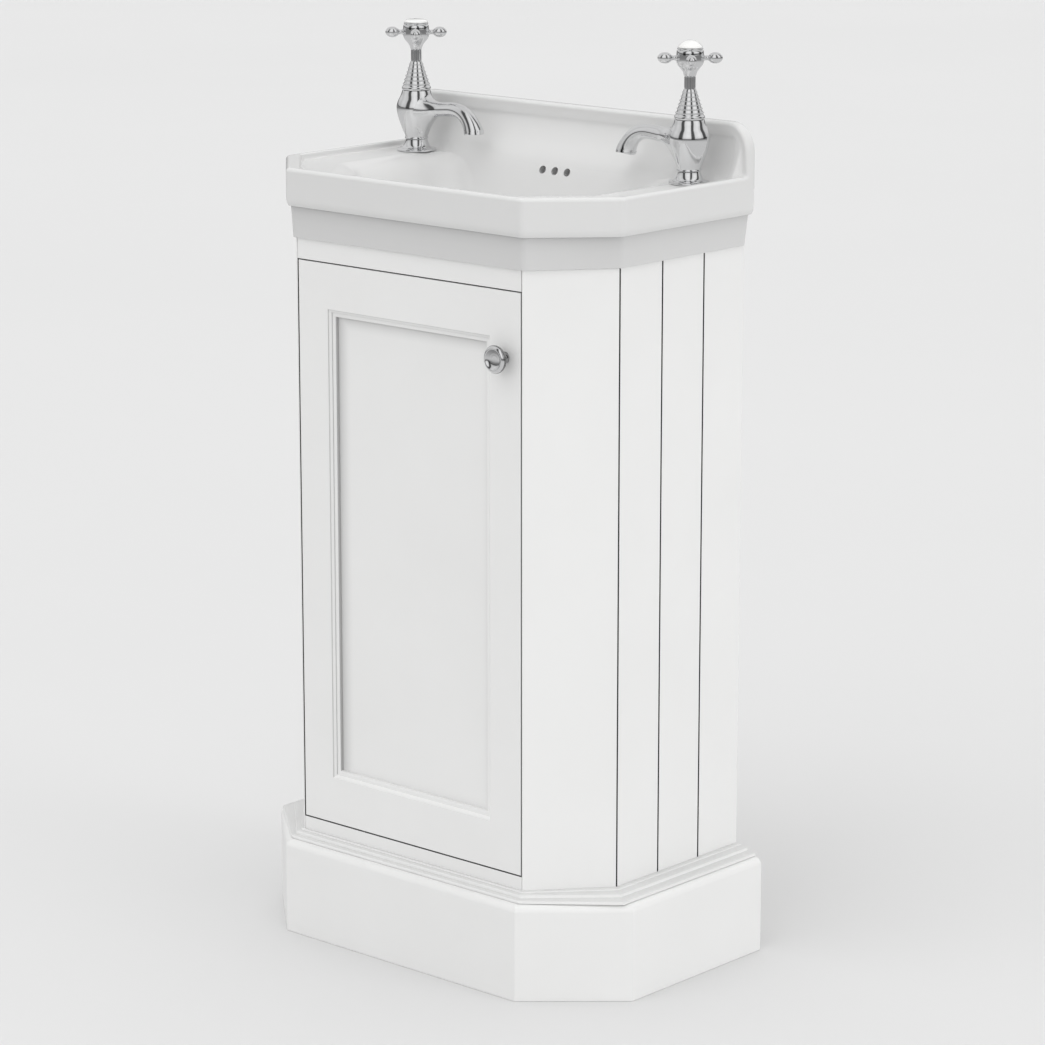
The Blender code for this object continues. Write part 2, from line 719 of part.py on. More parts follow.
def pivot(word, edge, towards, rail, stile):
    """A pin pressed into a rail, and the bush that turns on it in the door's edge.

    edge is the height of the door's edge, and towards is +1 where the rail lies above it.
    """
    where = (PIVOT_X, PIVOT_Y, edge)
    turn = Matrix() if towards > 0 else Matrix.Rotation(math.radians(180), 4, "X")
    foot = DOOR_GAP - PIVOT_COLLAR
    thin = PIVOT_RADIUS
    pin = [(0, DOOR_GAP + PIVOT_STEM), (thin, DOOR_GAP + PIVOT_STEM), (thin, DOOR_GAP - GAP),
           (PIVOT_COLLAR_RADIUS, DOOR_GAP - GAP), (PIVOT_COLLAR_RADIUS, foot), (thin, foot), (thin, -PIVOT_REACH),
           (0, -PIVOT_REACH)]
    turned("pivot_pin_" + word, pin, where, STEEL, turn=turn)
    bush = [(thin + GAP, 0), (BUSH_RADIUS, 0), (BUSH_RADIUS, -BUSH_LENGTH), (0, -BUSH_LENGTH),
            (0, BUSH_BOTTOM - BUSH_LENGTH), (thin + GAP, BUSH_BOTTOM - BUSH_LENGTH)]
    hang(turned("pivot_bush_" + word, bush, where, BRASS, turn=turn), DOOR_AXIS)
    bore([rail], thin + GAP, 0, DOOR_GAP + PIVOT_STEM + GAP, where, turn)
    bore([stile], BUSH_RADIUS + GAP, -BUSH_LENGTH - GAP, OVERRUN, where, turn, ROUND)


def pivots(stile):
    """The two pivots on the door's axis."""
    pivot("top", DOOR_TOP, 1, bpy.data.objects["fascia_rail"], stile)
    pivot("bottom", DOOR_SILL, -1, bpy.data.objects["bottom_rail"], stile)


def catch():
    """A magnetic catch behind the fascia rail, and its strike plate on the door."""
    middle = DOOR_HALF - CATCH_INSET
    low = middle - CATCH_LENGTH / 2
    edge = CABINET_TOP - FASCIA_DEPTH
    near = FRONT + RAIL_THICKNESS + GAP
    face = DOOR_BACK + GAP + STRIKE_THICKNESS + GAP
    far = near + CATCH_DEPTH
    outline = [(edge + CATCH_RISE, near), (edge + CATCH_RISE, far), (edge - CATCH_DROP, far),
               (edge - CATCH_DROP, face), (edge, face), (edge, near)]
    lay = Matrix(((0, 0, 1, 0), (0, 1, 0, 0), (1, 0, 0, 0), (0, 0, 0, 1)))
    plate("catch_body", outline, low, low + CATCH_LENGTH, RAW_BOARD, turn=lay)
    start = middle - STRIKE_LENGTH / 2
    foot = edge - CATCH_DROP + GAP
    back = DOOR_BACK + GAP
    strike = box("catch_strike", (start, back, foot), (start + STRIKE_LENGTH, back + STRIKE_THICKNESS,
                                                       foot + STRIKE_HEIGHT), STEEL)
    hang(strike, DOOR_AXIS)


# Basin

DECK = RIM_HEIGHT - DECK_DROP
BOWL_HALF = BASIN_BAND[0] / 2 - BOWL_SIDE_MARGIN
BOWL_FRONT = BASIN_BAND[1] - BOWL_FRONT_MARGIN
BOWL_MIDDLE_Y = BACK - (BOWL_BACK + BOWL_FRONT) / 2
BOWL_REACH = (BOWL_FRONT - BOWL_BACK) / 2
TAP_X = BASIN_BAND[0] / 2 - TAP_FROM_SIDE
TAP_OFFSET = TAP_X + BACK - TAP_FROM_BACK - BOWL_MIDDLE_Y
BOWL_TO_TAP = TAP_NUT_RADIUS + BOWL_SHELL + SPANNER_ROOM
BOWL_CORNER = BOWL_HALF + BOWL_REACH - TAP_OFFSET + BOWL_TO_TAP * math.sqrt(2)


def bowl_section(level, wide, deep, grow):
    """One level of the bowl: a rectangle with cut corners, drawn in towards the waste."""
    half = BOWL_HALF * wide + grow
    reach = BOWL_REACH * deep + grow
    corner = BOWL_CORNER * wide
    quarter = [(half, reach - corner), (half - corner, reach)]
    right = [(half, -y) for half, y in reversed(quarter)] + quarter
    points = right + [(-x, y) for x, y in reversed(right)]
    return [(x, BOWL_MIDDLE_Y + y, level) for x, y in points]


def bowl(name, grow, rise):
    """The bowl's solid: rise lifts its mouth, and grow makes it the outside of the shell."""
    flare = 1 + MOUTH_FLARE_SHARE * rise / BOWL_DEPTH
    sections = [bowl_section(DECK + rise, flare, flare, grow)]
    for depth, wide, deep in BOWL_LEVEL_SHARES:
        sections.append(bowl_section(DECK - BOWL_DEPTH * depth - grow * depth, wide, deep, grow))
    return loft(name, sections, CERAMIC, CUTTERS)


def upstand():
    """The raised back: a plate with round upper corners."""
    half = BASIN_BAND[0] / 2 - GAP * 2
    top = RIM_HEIGHT + UPSTAND_HEIGHT
    foot = DECK - DECK_THICKNESS / 2
    outline = [(-half, foot), (half, foot)]
    for step in range(CORNER_STEPS + 1):
        angle = math.radians(90 * step / CORNER_STEPS)
        outline.append((half - UPSTAND_CORNER * (1 - math.cos(angle)), top - UPSTAND_CORNER * (1 - math.sin(angle))))
    for step in range(CORNER_STEPS, -1, -1):
        angle = math.radians(90 * step / CORNER_STEPS)
        outline.append((UPSTAND_CORNER * (1 - math.cos(angle)) - half, top - UPSTAND_CORNER * (1 - math.sin(angle))))
    front = BACK - UPSTAND_THICKNESS
    return plate("upstand", outline, GAP - BACK, -front, CERAMIC, turn=ALONG_Y, group=CUTTERS)


def basin_block():
    """The outside of the basin: a tapered foot, a step, a bevelled band and an eased rim."""
    step = RIM_HEIGHT - BAND_HEIGHT
    levels = ((BASIN_FOOT, CABINET_TOP + GAP), (BASIN_FOOT_TOP, step - STEP_SLOPE), (BASIN_STEP, step),
              (BASIN_BAND, step + BAND_BEVEL), (BASIN_BAND, RIM_HEIGHT - ARRIS), (BASIN_RIM, RIM_HEIGHT))
    return loft("basin", [flat(corners(plan), level) for plan, level in levels], CERAMIC)


def basin():
    """A hollow ceramic block with a sunk deck, a bowl, an upstand and its holes."""
    block = basin_block()
    under = inset(corners(BASIN_FOOT), APRON_THICKNESS)
    for end in (0, -1):
        under[end].y = BACK - APRON_THICKNESS
    ceiling = DECK - DECK_THICKNESS
    cut(block, loft("hollow", [flat(under, CABINET_TOP - OVERRUN), flat(under, ceiling)], CERAMIC, CUTTERS))
    deck = inset(corners(BASIN_RIM), LIP_WIDTH)
    for end in (0, -1):
        deck[end].y = BACK - UPSTAND_THICKNESS + STEP_SLOPE
    cut(block, loft("deck", [flat(deck, DECK), flat(deck, RIM_HEIGHT + OVERRUN)], CERAMIC, CUTTERS))
    cut(block, upstand(), "UNION")
    cut(block, bowl("bowl_shell", BOWL_SHELL, -DECK_THICKNESS / 2), "UNION")
    cut(block, bowl("bowl_space", 0, OVERRUN))
    half = BASIN_BAND[0] / 2 - UPSTAND_BORDER
    front = BACK - UPSTAND_THICKNESS
    recess = box("recess", (-half, front - OVERRUN, DECK + GAP),
                 (half, front + UPSTAND_RECESS, RIM_HEIGHT + UPSTAND_HEIGHT - UPSTAND_BORDER), CERAMIC, CUTTERS)
    cut(block, recess)
    basin_holes(block)
    return smooth(block)


def basin_holes(block):
    """Two tap holes, the waste hole and a row of three overflow holes."""
    for hand in (-1, 1):
        spot = (hand * TAP_X, BACK - TAP_FROM_BACK, DECK)
        bore([block], TAP_HOLE_RADIUS, -DECK_THICKNESS - OVERRUN, OVERRUN, spot, steps=ROUND)
    floor = DECK - BOWL_DEPTH
    bore([block], WASTE_HOLE_RADIUS, -BOWL_SHELL - OVERRUN, OVERRUN, (0, BOWL_MIDDLE_Y, floor), steps=ROUND)
    for place_in_row in (-1, 0, 1):
        spot = (place_in_row * OVERFLOW_SPACING, BACK - BOWL_BACK, DECK - OVERFLOW_DROP)
        reach = BOWL_SHELL + 2 * OVERRUN
        bore([block], OVERFLOW_RADIUS, -reach, reach, spot, ALONG_Y)


def waste():
    """The waste: flanged body with a bridge, a plug that lifts, and its seal and nut below."""
    floor = DECK - BOWL_DEPTH
    where = (0, BOWL_MIDDLE_Y, floor)
    rim = WASTE_FLANGE_RADIUS
    tube = WASTE_TUBE_RADIUS
    hole = WASTE_BORE_RADIUS
    top = WASTE_FLANGE + GAP
    body = turned("waste_body", [(hole, top), (rim - GAP * 2, top), (rim, top / 2), (rim, GAP), (tube, GAP),
                                 (tube, -WASTE_LENGTH), (hole, -WASTE_LENGTH)], where, CHROME)
    bridge_top = -WASTE_BRIDGE_DROP
    bridge_low = bridge_top - WASTE_BRIDGE
    for turn in (0, 90):
        reach = hole + (tube - hole) / 2
        low = (-reach, -WASTE_SPOKE / 2, bridge_low)
        spoke = box("spoke", low, (reach, WASTE_SPOKE / 2, bridge_top), CHROME, CUTTERS)
        spoke.matrix_world = Matrix.Translation(where) @ Matrix.Rotation(math.radians(turn), 4, "Z")
        cut(body, spoke, "UNION")
    cut(body, rod("boss", PLUG_BOSS_RADIUS, bridge_low, bridge_top, where, CHROME, group=CUTTERS), "UNION")
    bore([body], PLUG_STEM_RADIUS + GAP, bridge_low - OVERRUN, bridge_top + OVERRUN, where)
    plug(where, top + GAP, bridge_low)
    shell = -BOWL_SHELL - GAP
    seal_low = shell - WASTE_SEAL
    ring = tube + GAP
    turned("waste_seal", [(ring, shell), (WASTE_NUT_RADIUS, shell), (WASTE_NUT_RADIUS, seal_low), (ring, seal_low)],
           where, RUBBER)
    nut_top = seal_low - GAP
    nut("waste_nut", WASTE_NUT_RADIUS, ring, nut_top - WASTE_NUT, nut_top, where, STEM_SIDES)


WASTE_AXIS = bpy.data.objects.new("plug_axis", None)
PARTS.objects.link(WASTE_AXIS)
WASTE_AXIS.location = (0, BOWL_MIDDLE_Y, DECK - BOWL_DEPTH)


def plug(where, seat, bridge_low):
    """A crowned disc on a stem that slides in the bridge."""
    edge = seat + PLUG_THICKNESS
    crown = edge + PLUG_CROWN
    foot = bridge_low - PLUG_TRAVEL
    stem = PLUG_STEM_RADIUS
    shape = [(0, crown), (PLUG_RADIUS * 0.55, crown - PLUG_CROWN / 3), (PLUG_RADIUS, edge),
             (PLUG_RADIUS, seat + PLUG_THICKNESS / 3), (PLUG_RADIUS * 0.93, seat), (stem, seat), (stem, foot), (0, foot)]
    hang(turned("waste_plug", shape, where, CHROME), WASTE_AXIS)


# Taps

def tap_body(prefix, hand, where):
    """The casting: flared foot, waist, belly and shoulder, with the spout and the threaded tail."""
    low = GAP
    waist, belly, shoulder = TAP_WAIST_RADIUS, TAP_BELLY_RADIUS, TAP_SHOULDER_RADIUS
    rise = TAP_BELLY_HEIGHT - TAP_WAIST_HEIGHT
    drop = TAP_SHOULDER_HEIGHT - TAP_BELLY_HEIGHT
    flange = TAP_FLANGE_RADIUS
    shape = [(TAP_TAIL_BORE, TAP_SHOULDER_HEIGHT), (shoulder, TAP_SHOULDER_HEIGHT)]
    for share, swell in ((0.80, 0.22), (0.50, 0.66), (0.22, 0.94), (0.0, 1.0)):
        shape.append((shoulder + (belly - shoulder) * swell, TAP_BELLY_HEIGHT + drop * share))
    for share, swell in ((0.80, 0.93), (0.55, 0.70), (0.30, 0.38), (0.10, 0.10), (0.0, 0.0)):
        shape.append((waist + (belly - waist) * swell, TAP_WAIST_HEIGHT + rise * share))
    climb = TAP_WAIST_HEIGHT - low - TAP_FLANGE_EDGE
    for share, flare in ((0.75, 0.08), (0.45, 0.34), (0.18, 0.70), (0.0, 1.0)):
        shape.append((waist + (flange - waist) * flare, low + TAP_FLANGE_EDGE + climb * share))
    shape += [(flange, low), (TAP_TAIL_RADIUS, low), (TAP_TAIL_RADIUS, -TAP_TAIL_LENGTH),
              (TAP_TAIL_BORE, -TAP_TAIL_LENGTH)]
    body = turned(prefix + "body", shape, where, CHROME)
    cut(body, spout(hand, where), "UNION")
    core = [(0, TAP_SHOULDER_HEIGHT + OVERRUN), (TAP_TAIL_BORE, TAP_SHOULDER_HEIGHT + OVERRUN),
            (TAP_TAIL_BORE, low), (0, low)]
    cut(body, turned("core", core, where, CHROME, ROUND, group=CUTTERS))
    mouth = Vector(where) + Vector((-hand * SPOUT_REACH, 0, SPOUT_MOUTH_HEIGHT))
    bore([body], NOZZLE_RADIUS + GAP, -OVERRUN, NOZZLE_DEPTH, mouth, steps=ROUND)
    return body


SPOUT_SHARES = (
    (0.06, 0.00, 0.00), (0.22, 0.10, 0.45), (0.36, 0.02, 0.95), (0.50, -0.02, 1.00), (0.64, 0.00, 0.96),
    (0.77, 0.09, 0.84), (0.88, 0.26, 0.56), (0.955, 0.50, 0.26), (0.99, 0.75, 0.08), (1.00, 1.00, 0.00),
)


def spout(hand, where):
    """A tube that leaves the belly level, then bends down and widens to its mouth."""
    curve = bpy.data.curves.new("spout", "CURVE")
    curve.dimensions = "3D"
    curve.bevel_depth = SPOUT_RADIUS
    curve.bevel_resolution = 4
    curve.use_fill_caps = True
    curve.twist_mode = "Z_UP"
    spline = curve.splines.new("POLY")
    spline.points.add(len(SPOUT_SHARES) - 1)
    fall = SPOUT_HEIGHT - SPOUT_MOUTH_HEIGHT
    for point, (reach, sink, slim) in zip(spline.points, SPOUT_SHARES):
        point.co = (-hand * SPOUT_REACH * reach, 0, SPOUT_HEIGHT - fall * sink, 1)
        end = SPOUT_ROOT_RADIUS if reach < 0.5 else SPOUT_MOUTH_RADIUS
        point.radius = (end + (SPOUT_RADIUS - end) * slim) / SPOUT_RADIUS
    body = bpy.data.objects.new("spout", curve)
    body.matrix_world = Matrix.Translation(where)
    CUTTERS.objects.link(body)
    return as_mesh(body, CHROME, CUTTERS)


def shroud(name, where):
    """A ribbed cone over the valve, with a bore for the spindle."""
    low = TAP_SHOULDER_HEIGHT + GAP
    hole = SPINDLE_RADIUS + GAP
    shape = [(hole, low + SHROUD_HEIGHT), (SHROUD_TOP_RADIUS, low + SHROUD_HEIGHT)]
    pitch = SHROUD_HEIGHT / SHROUD_RIBS
    for rib in range(SHROUD_RIBS, 0, -1):
        share = rib / SHROUD_RIBS
        radius = SHROUD_RADIUS + (SHROUD_TOP_RADIUS - SHROUD_RADIUS) * math.sqrt(share)
        lower = SHROUD_RADIUS + (SHROUD_TOP_RADIUS - SHROUD_RADIUS) * math.sqrt(share - 1 / SHROUD_RIBS)
        fine = radius * (1 - SHROUD_RIB_SHARE)
        shape.append((fine, low + pitch * (rib - SHROUD_GROOVE_SHARE)))
        shape.append((lower, low + pitch * (rib - 1 + SHROUD_GROOVE_SHARE)))
    shape += [(SHROUD_RADIUS, low), (hole, low)]
    return turned(name, shape, where, CHROME)


def spindle(name, where):
    """A faceted stem over the shroud, and the thin spindle that runs down into the valve."""
    foot = TAP_SHOULDER_HEIGHT + GAP + SHROUD_HEIGHT + GAP
    top = foot + STEM_HEIGHT
    end = top + HUB_SOCKET - GAP
    low = foot - SPINDLE_DROP
    thin = SPINDLE_RADIUS
    shape = [(0, end), (thin, end), (thin, top), (STEM_RADIUS * 1.08, top), (STEM_RADIUS, top - STEM_HEIGHT * 0.2),
             (STEM_RADIUS, foot + STEM_HEIGHT * 0.2), (STEM_RADIUS * 1.08, foot), (thin, foot), (thin, low), (0, low)]
    return turned(name, shape, where, CHROME, STEM_SIDES)


def handle(name, where):
    """A cross handle: tapered hub and four arms that end in balls."""
    low = TAP_SHOULDER_HEIGHT + GAP + SHROUD_HEIGHT + GAP + STEM_HEIGHT + GAP
    top = low + HUB_HEIGHT
    hole = SPINDLE_RADIUS + GAP
    neck = STEM_RADIUS * 1.10
    seat = top - INDEX_SEAT
    shape = [(0, seat), (INDEX_RADIUS + GAP, seat), (INDEX_RADIUS + GAP, top), (HUB_RADIUS * 0.95, top),
             (HUB_RADIUS, top - INDEX_SEAT), (HUB_RADIUS, low + HUB_TAPER), (HUB_RADIUS * 0.72, low + HUB_TAPER * 0.45),
             (neck, low), (hole, low), (hole, low + HUB_SOCKET + GAP), (0, low + HUB_SOCKET + GAP)]
    hub = turned(name, shape, where, CHROME)
    level = Vector(where) + Vector((0, 0, low + ARM_HEIGHT))
    for arm in range(ARM_COUNT):
        angle = HANDLE_TURN + 360 * arm / ARM_COUNT
        turn = Matrix.Rotation(math.radians(angle), 4, "Z") @ ALONG_X
        cut(hub, arm_piece(level, turn), "UNION")
    return hub, top


def arm_piece(where, turn):
    """One arm: a thin neck and an egg-shaped end."""
    ball = ARM_BALL_RADIUS
    middle = ARM_REACH - ARM_BALL_LENGTH / 2
    shape = [(0, ARM_REACH)]
    for angle in (35, 65, 95, 125, 150):
        bend = math.radians(angle)
        radius = max(ball * math.sin(bend), ARM_RADIUS)
        shape.append((radius, middle + ARM_BALL_LENGTH / 2 * math.cos(bend)))
    shape += [(ARM_RADIUS, HUB_RADIUS), (ARM_RADIUS * 1.6, HUB_RADIUS * 0.85), (0, HUB_RADIUS * 0.85)]
    return turned("arm", shape, where, CHROME, SMALL_ROUND, turn, CUTTERS)


def tap(hand, word, crown):
    """One pillar tap, with its cross handle above and its nut under the deck."""
    prefix = "tap_" + word + "_"
    where = (hand * TAP_X, BACK - TAP_FROM_BACK, DECK)
    axis = bpy.data.objects.new(prefix + "axis", None)
    axis.location = where
    PARTS.objects.link(axis)
    tap_body(prefix, hand, where)
    shroud(prefix + "shroud", where)
    hang(spindle(prefix + "spindle", where), axis)
    cross, top = handle(prefix + "handle", where)
    hang(cross, axis)
    seat = top - INDEX_SEAT + GAP
    shape = [(0, seat + crown)]
    for angle in (25, 50, 72, 90):
        bend = math.radians(angle)
        flatness = math.cos(bend) ** (INDEX_FLAT / crown)
        shape.append((INDEX_RADIUS * math.sin(bend), seat + crown * flatness))
    shape[-1] = (INDEX_RADIUS, top)
    shape += [(INDEX_RADIUS, seat), (0, seat)]
    hang(turned(prefix + "index", shape, where, INDEX_WHITE), axis)
    top = -DECK_THICKNESS - GAP
    nut(prefix + "nut", TAP_NUT_RADIUS, TAP_TAIL_RADIUS + GAP, top - TAP_NUT, top, where, NUT_SIDES)



def build():
    """Model the whole unit."""
    plinth()
    cabinet()
    leaves = door()
    knob(leaves["door_stile_knob"])
    pivots(leaves["door_stile_hinge"])
    catch()
    basin()
    waste()
    tap(-1, "left", INDEX_FLAT)
    tap(1, "right", INDEX_DOME)


build()
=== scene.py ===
# Cloakroom vanity unit: painted cabinet, glazed basin and two pillar taps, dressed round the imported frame
import math

import bmesh
import bpy
import numpy as np
from mathutils import Matrix, Vector

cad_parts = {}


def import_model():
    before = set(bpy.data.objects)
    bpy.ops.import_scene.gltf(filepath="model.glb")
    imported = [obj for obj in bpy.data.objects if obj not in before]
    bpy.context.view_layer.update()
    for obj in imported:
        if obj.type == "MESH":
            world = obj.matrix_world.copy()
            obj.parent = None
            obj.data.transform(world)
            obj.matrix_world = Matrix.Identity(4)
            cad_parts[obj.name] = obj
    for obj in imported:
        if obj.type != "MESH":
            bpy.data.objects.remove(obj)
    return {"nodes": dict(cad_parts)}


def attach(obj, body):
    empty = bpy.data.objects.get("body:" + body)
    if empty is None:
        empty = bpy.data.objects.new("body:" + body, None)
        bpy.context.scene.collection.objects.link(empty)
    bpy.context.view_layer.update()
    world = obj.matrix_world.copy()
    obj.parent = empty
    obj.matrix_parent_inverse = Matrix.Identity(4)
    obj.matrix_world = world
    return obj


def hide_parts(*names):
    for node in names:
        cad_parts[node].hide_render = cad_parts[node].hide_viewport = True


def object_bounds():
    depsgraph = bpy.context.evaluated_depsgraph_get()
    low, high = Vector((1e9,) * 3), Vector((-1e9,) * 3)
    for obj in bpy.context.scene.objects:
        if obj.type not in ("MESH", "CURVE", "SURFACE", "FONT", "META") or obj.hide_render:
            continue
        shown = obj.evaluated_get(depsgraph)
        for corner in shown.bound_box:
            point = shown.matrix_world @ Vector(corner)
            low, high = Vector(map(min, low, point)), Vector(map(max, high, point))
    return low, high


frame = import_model()
cadBox = [list(corner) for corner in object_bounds()]
backPlane = cadBox[1][1]  # the wall side of the unit
print("frame loaded")

# values that several pieces share, in metres
weldDistance = 0.00002
flatAngle = math.radians(0.6)
edgeAngle = math.radians(28)
rimHeight = 0.900
deckHeight = 0.893
cabinetTop = 0.8208
frontPlane = backPlane - 0.294
tapPlace = {"x": 0.207, "fromBack": 0.058, "turn": 42, "hole": 0.014, "holeSpan": (-0.020, 0.012)}


# making meshes
def scenePiece(name, mesh, finish, stands=(), body="unit"):
    # one finished piece at the origin, riding on its body; wide faces shade flat beside narrow roundings
    mesh.materials.clear()
    mesh.materials.append(finish)
    item = helper(name, mesh)
    even = item.modifiers.new("even", "WEIGHTED_NORMAL")
    even.mode = "FACE_AREA_WITH_ANGLE"
    even.keep_sharp = True
    piece = helper(name, baked(item))
    piece.data.name = name
    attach(piece, body)
    if stands:
        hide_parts(*stands)


def pieceName(node):
    # the piece that stands for the node corner_post_left is cornerPostLeft
    first, *rest = node.split("_")
    return first + "".join(word.title() for word in rest)


def nodeLimits(node):
    # the low and the high corner of a CAD node's box
    corners = [corner.co for corner in frame["nodes"][node].data.vertices]
    return [[pick(spot[axis] for spot in corners) for axis in range(3)] for pick in (min, max)]


def helper(name, mesh):
    # a throwaway object that carries modifiers
    item = bpy.data.objects.new(name, mesh)
    bpy.context.scene.collection.objects.link(item)
    return item


def baked(item):
    # the plain mesh of a throwaway object with its modifiers applied
    bpy.context.view_layer.update()
    mesh = bpy.data.meshes.new_from_object(item.evaluated_get(bpy.context.evaluated_depsgraph_get()))
    bpy.data.objects.remove(item, do_unlink=True)
    return mesh


def resharpen(mesh, sharpAngle):
    mesh.shade_smooth()
    mesh.set_sharp_from_angle(angle=math.radians(sharpAngle))
    return mesh


def finished(shape, sharpAngle=40):
    # welds a bmesh, turns its faces outwards and shades it
    bmesh.ops.remove_doubles(shape, verts=shape.verts, dist=weldDistance)
    bmesh.ops.dissolve_degenerate(shape, edges=shape.edges, dist=weldDistance / 4)
    bmesh.ops.delete(shape, geom=[edge for edge in shape.edges if not edge.link_faces], context="EDGES")
    bmesh.ops.delete(shape, geom=[spot for spot in shape.verts if not spot.link_edges], context="VERTS")
    bmesh.ops.recalc_face_normals(shape, faces=shape.faces)
    mesh = bpy.data.meshes.new("shape")
    shape.to_mesh(mesh)
    shape.free()
    return resharpen(mesh, sharpAngle)


def bevelled(shape, edges, width, segments=2):
    bmesh.ops.bevel(shape, geom=edges, offset=width, segments=segments, profile=0.5, affect="EDGES",
                    clamp_overlap=True)


def ringFaces(shape, rings, joinEnds=True, closed=True, flip=False):
    # faces between rings that all have the same number of points
    rows = [[shape.verts.new(tuple(point)) for point in ring] for ring in rings]
    width = len(rows[0])
    for lower, upper in zip(rows, rows[1:] + rows[:1] if joinEnds else rows[1:]):
        for spot in range(width if closed else width - 1):
            after = (spot + 1) % width
            face = (lower[spot], lower[after], upper[after], upper[spot])
            shape.faces.new(face[::-1] if flip else face)
    return rows


def gridMesh(rings, ends="joined", sharpAngle=40):
    # the end rings are joined to each other, capped, or left where they lie on an axis
    shape = bmesh.new()
    rows = ringFaces(shape, rings, ends == "joined")
    if ends == "capped":
        for row in (rows[0], rows[-1]):
            shape.faces.new(row)
    return finished(shape, sharpAngle)


def circle(radius, steps):
    angles = [2 * math.pi * step / steps for step in range(steps)]
    return [(radius * math.cos(angle), radius * math.sin(angle)) for angle in angles]


def turned(profile, where, axis="Z", steps=64, sharpAngle=40):
    # a solid of revolution from pairs of radius and height, closed on itself unless it starts on the axis;
    # axis Y points out of the front
    rings = [[Vector(where) + Vector((x, y, height) if axis == "Z" else (x, -height, y))
              for x, y in circle(radius, steps)] for radius, height in profile]
    return gridMesh(rings, "joined" if profile[0][0] > 0 else "left", sharpAngle)


def rod(radius, low, high, where=(0, 0, 0), axis="Z", steps=40):
    # a plain cylinder, as a cutter
    return turned([(0, low), (radius, low), (radius, high), (0, high)], where, axis, steps)


def quarterRound(radius, steps):
    # inset and drop of a rounded edge, from its side over to its top
    angles = [math.radians(90 * step / steps) for step in range(steps + 1)]
    return [(radius * (1 - math.cos(angle)), radius * (1 - math.sin(angle))) for angle in angles]


def threadRows(radius, top, pitch, depth, turns):
    # the zigzag outline of a thread, from its top down
    return [(radius - depth * side, top - pitch * (turn + side / 2))
            for turn in range(turns) for side in (0, 1)]


def smoothCurve(points, steps):
    # a Catmull-Rom curve through rows of numbers
    rows = [np.array(point, float) for point in points]
    rows = [2 * rows[0] - rows[1]] + rows + [2 * rows[-1] - rows[-2]]
    result = []
    for index in range(1, len(rows) - 2):
        before, start, end, after = rows[index - 1:index + 3]
        for step in range(steps):
            share = step / steps
            result.append(0.5 * (2 * start + (end - before) * share
                                 + (2 * before - 5 * start + 4 * end - after) * share ** 2
                                 + (3 * start - before - 3 * end + after) * share ** 3))
    result.append(rows[-2])
    return result


def ease(low, high, value):
    share = min(max((value - low) / (high - low), 0), 1)
    return share * share * (3 - 2 * share)


def subtract(mesh, cutter):
    # the first mesh less the second
    item, tool = helper("blank", mesh), helper("cutter", cutter)
    step = item.modifiers.new("cut", "BOOLEAN")
    step.operation = "DIFFERENCE"
    step.solver = "EXACT"
    step.object = tool
    result = baked(item)
    bpy.data.objects.remove(tool, do_unlink=True)
    return result


def joined(sharpAngle, *meshes):
    # several meshes in one
    shape = bmesh.new()
    for mesh in meshes:
        shape.from_mesh(mesh)
    result = bpy.data.meshes.new("joined")
    shape.to_mesh(result)
    shape.free()
    return resharpen(result, sharpAngle)


def marked(mesh, shadeOf):
    # stores how much of its finish's painted shade colour each face takes at each of its corners
    levels = [0.0] * len(mesh.loops)
    for face in mesh.polygons:
        for corner, spot in zip(face.loop_indices, face.vertices):
            levels[corner] = shadeOf(face, mesh.vertices[spot].co)
    mesh.attributes.new("seam", "FLOAT", "CORNER").data.foreach_set("value", levels)
    return mesh


# making node trees
def setInputs(tree, node, inputs):
    # each input takes a value, or the socket that feeds it
    for key, value in inputs.items():
        if isinstance(value, bpy.types.NodeSocket):
            tree.links.new(value, node.inputs[key])
        else:
            node.inputs[key].default_value = value


def wired(tree, kind, inputs, output=0, **settings):
    # adds a node and returns one of its outputs
    node = tree.nodes.new(kind)
    for key, value in settings.items():
        setattr(node, key, value)
    setInputs(tree, node, inputs)
    return node.outputs[output]


def computed(tree, operation, *values):
    return wired(tree, "ShaderNodeMath", dict(enumerate(values)), operation=operation)


def ranged(tree, value, fromLow, fromHigh, toLow=0.0, toHigh=1.0):
    # carries a number from one range to another
    return wired(tree, "ShaderNodeMapRange", {"Value": value, "From Min": fromLow, "From Max": fromHigh,
                                              "To Min": toLow, "To Max": toHigh})


def mixedColours(tree, share, first, second):
    # a Mix node keeps its colours in inputs 6 and 7, and their mix in output 2
    return wired(tree, "ShaderNodeMix", {0: share, 6: first, 7: second}, 2, data_type="RGBA")


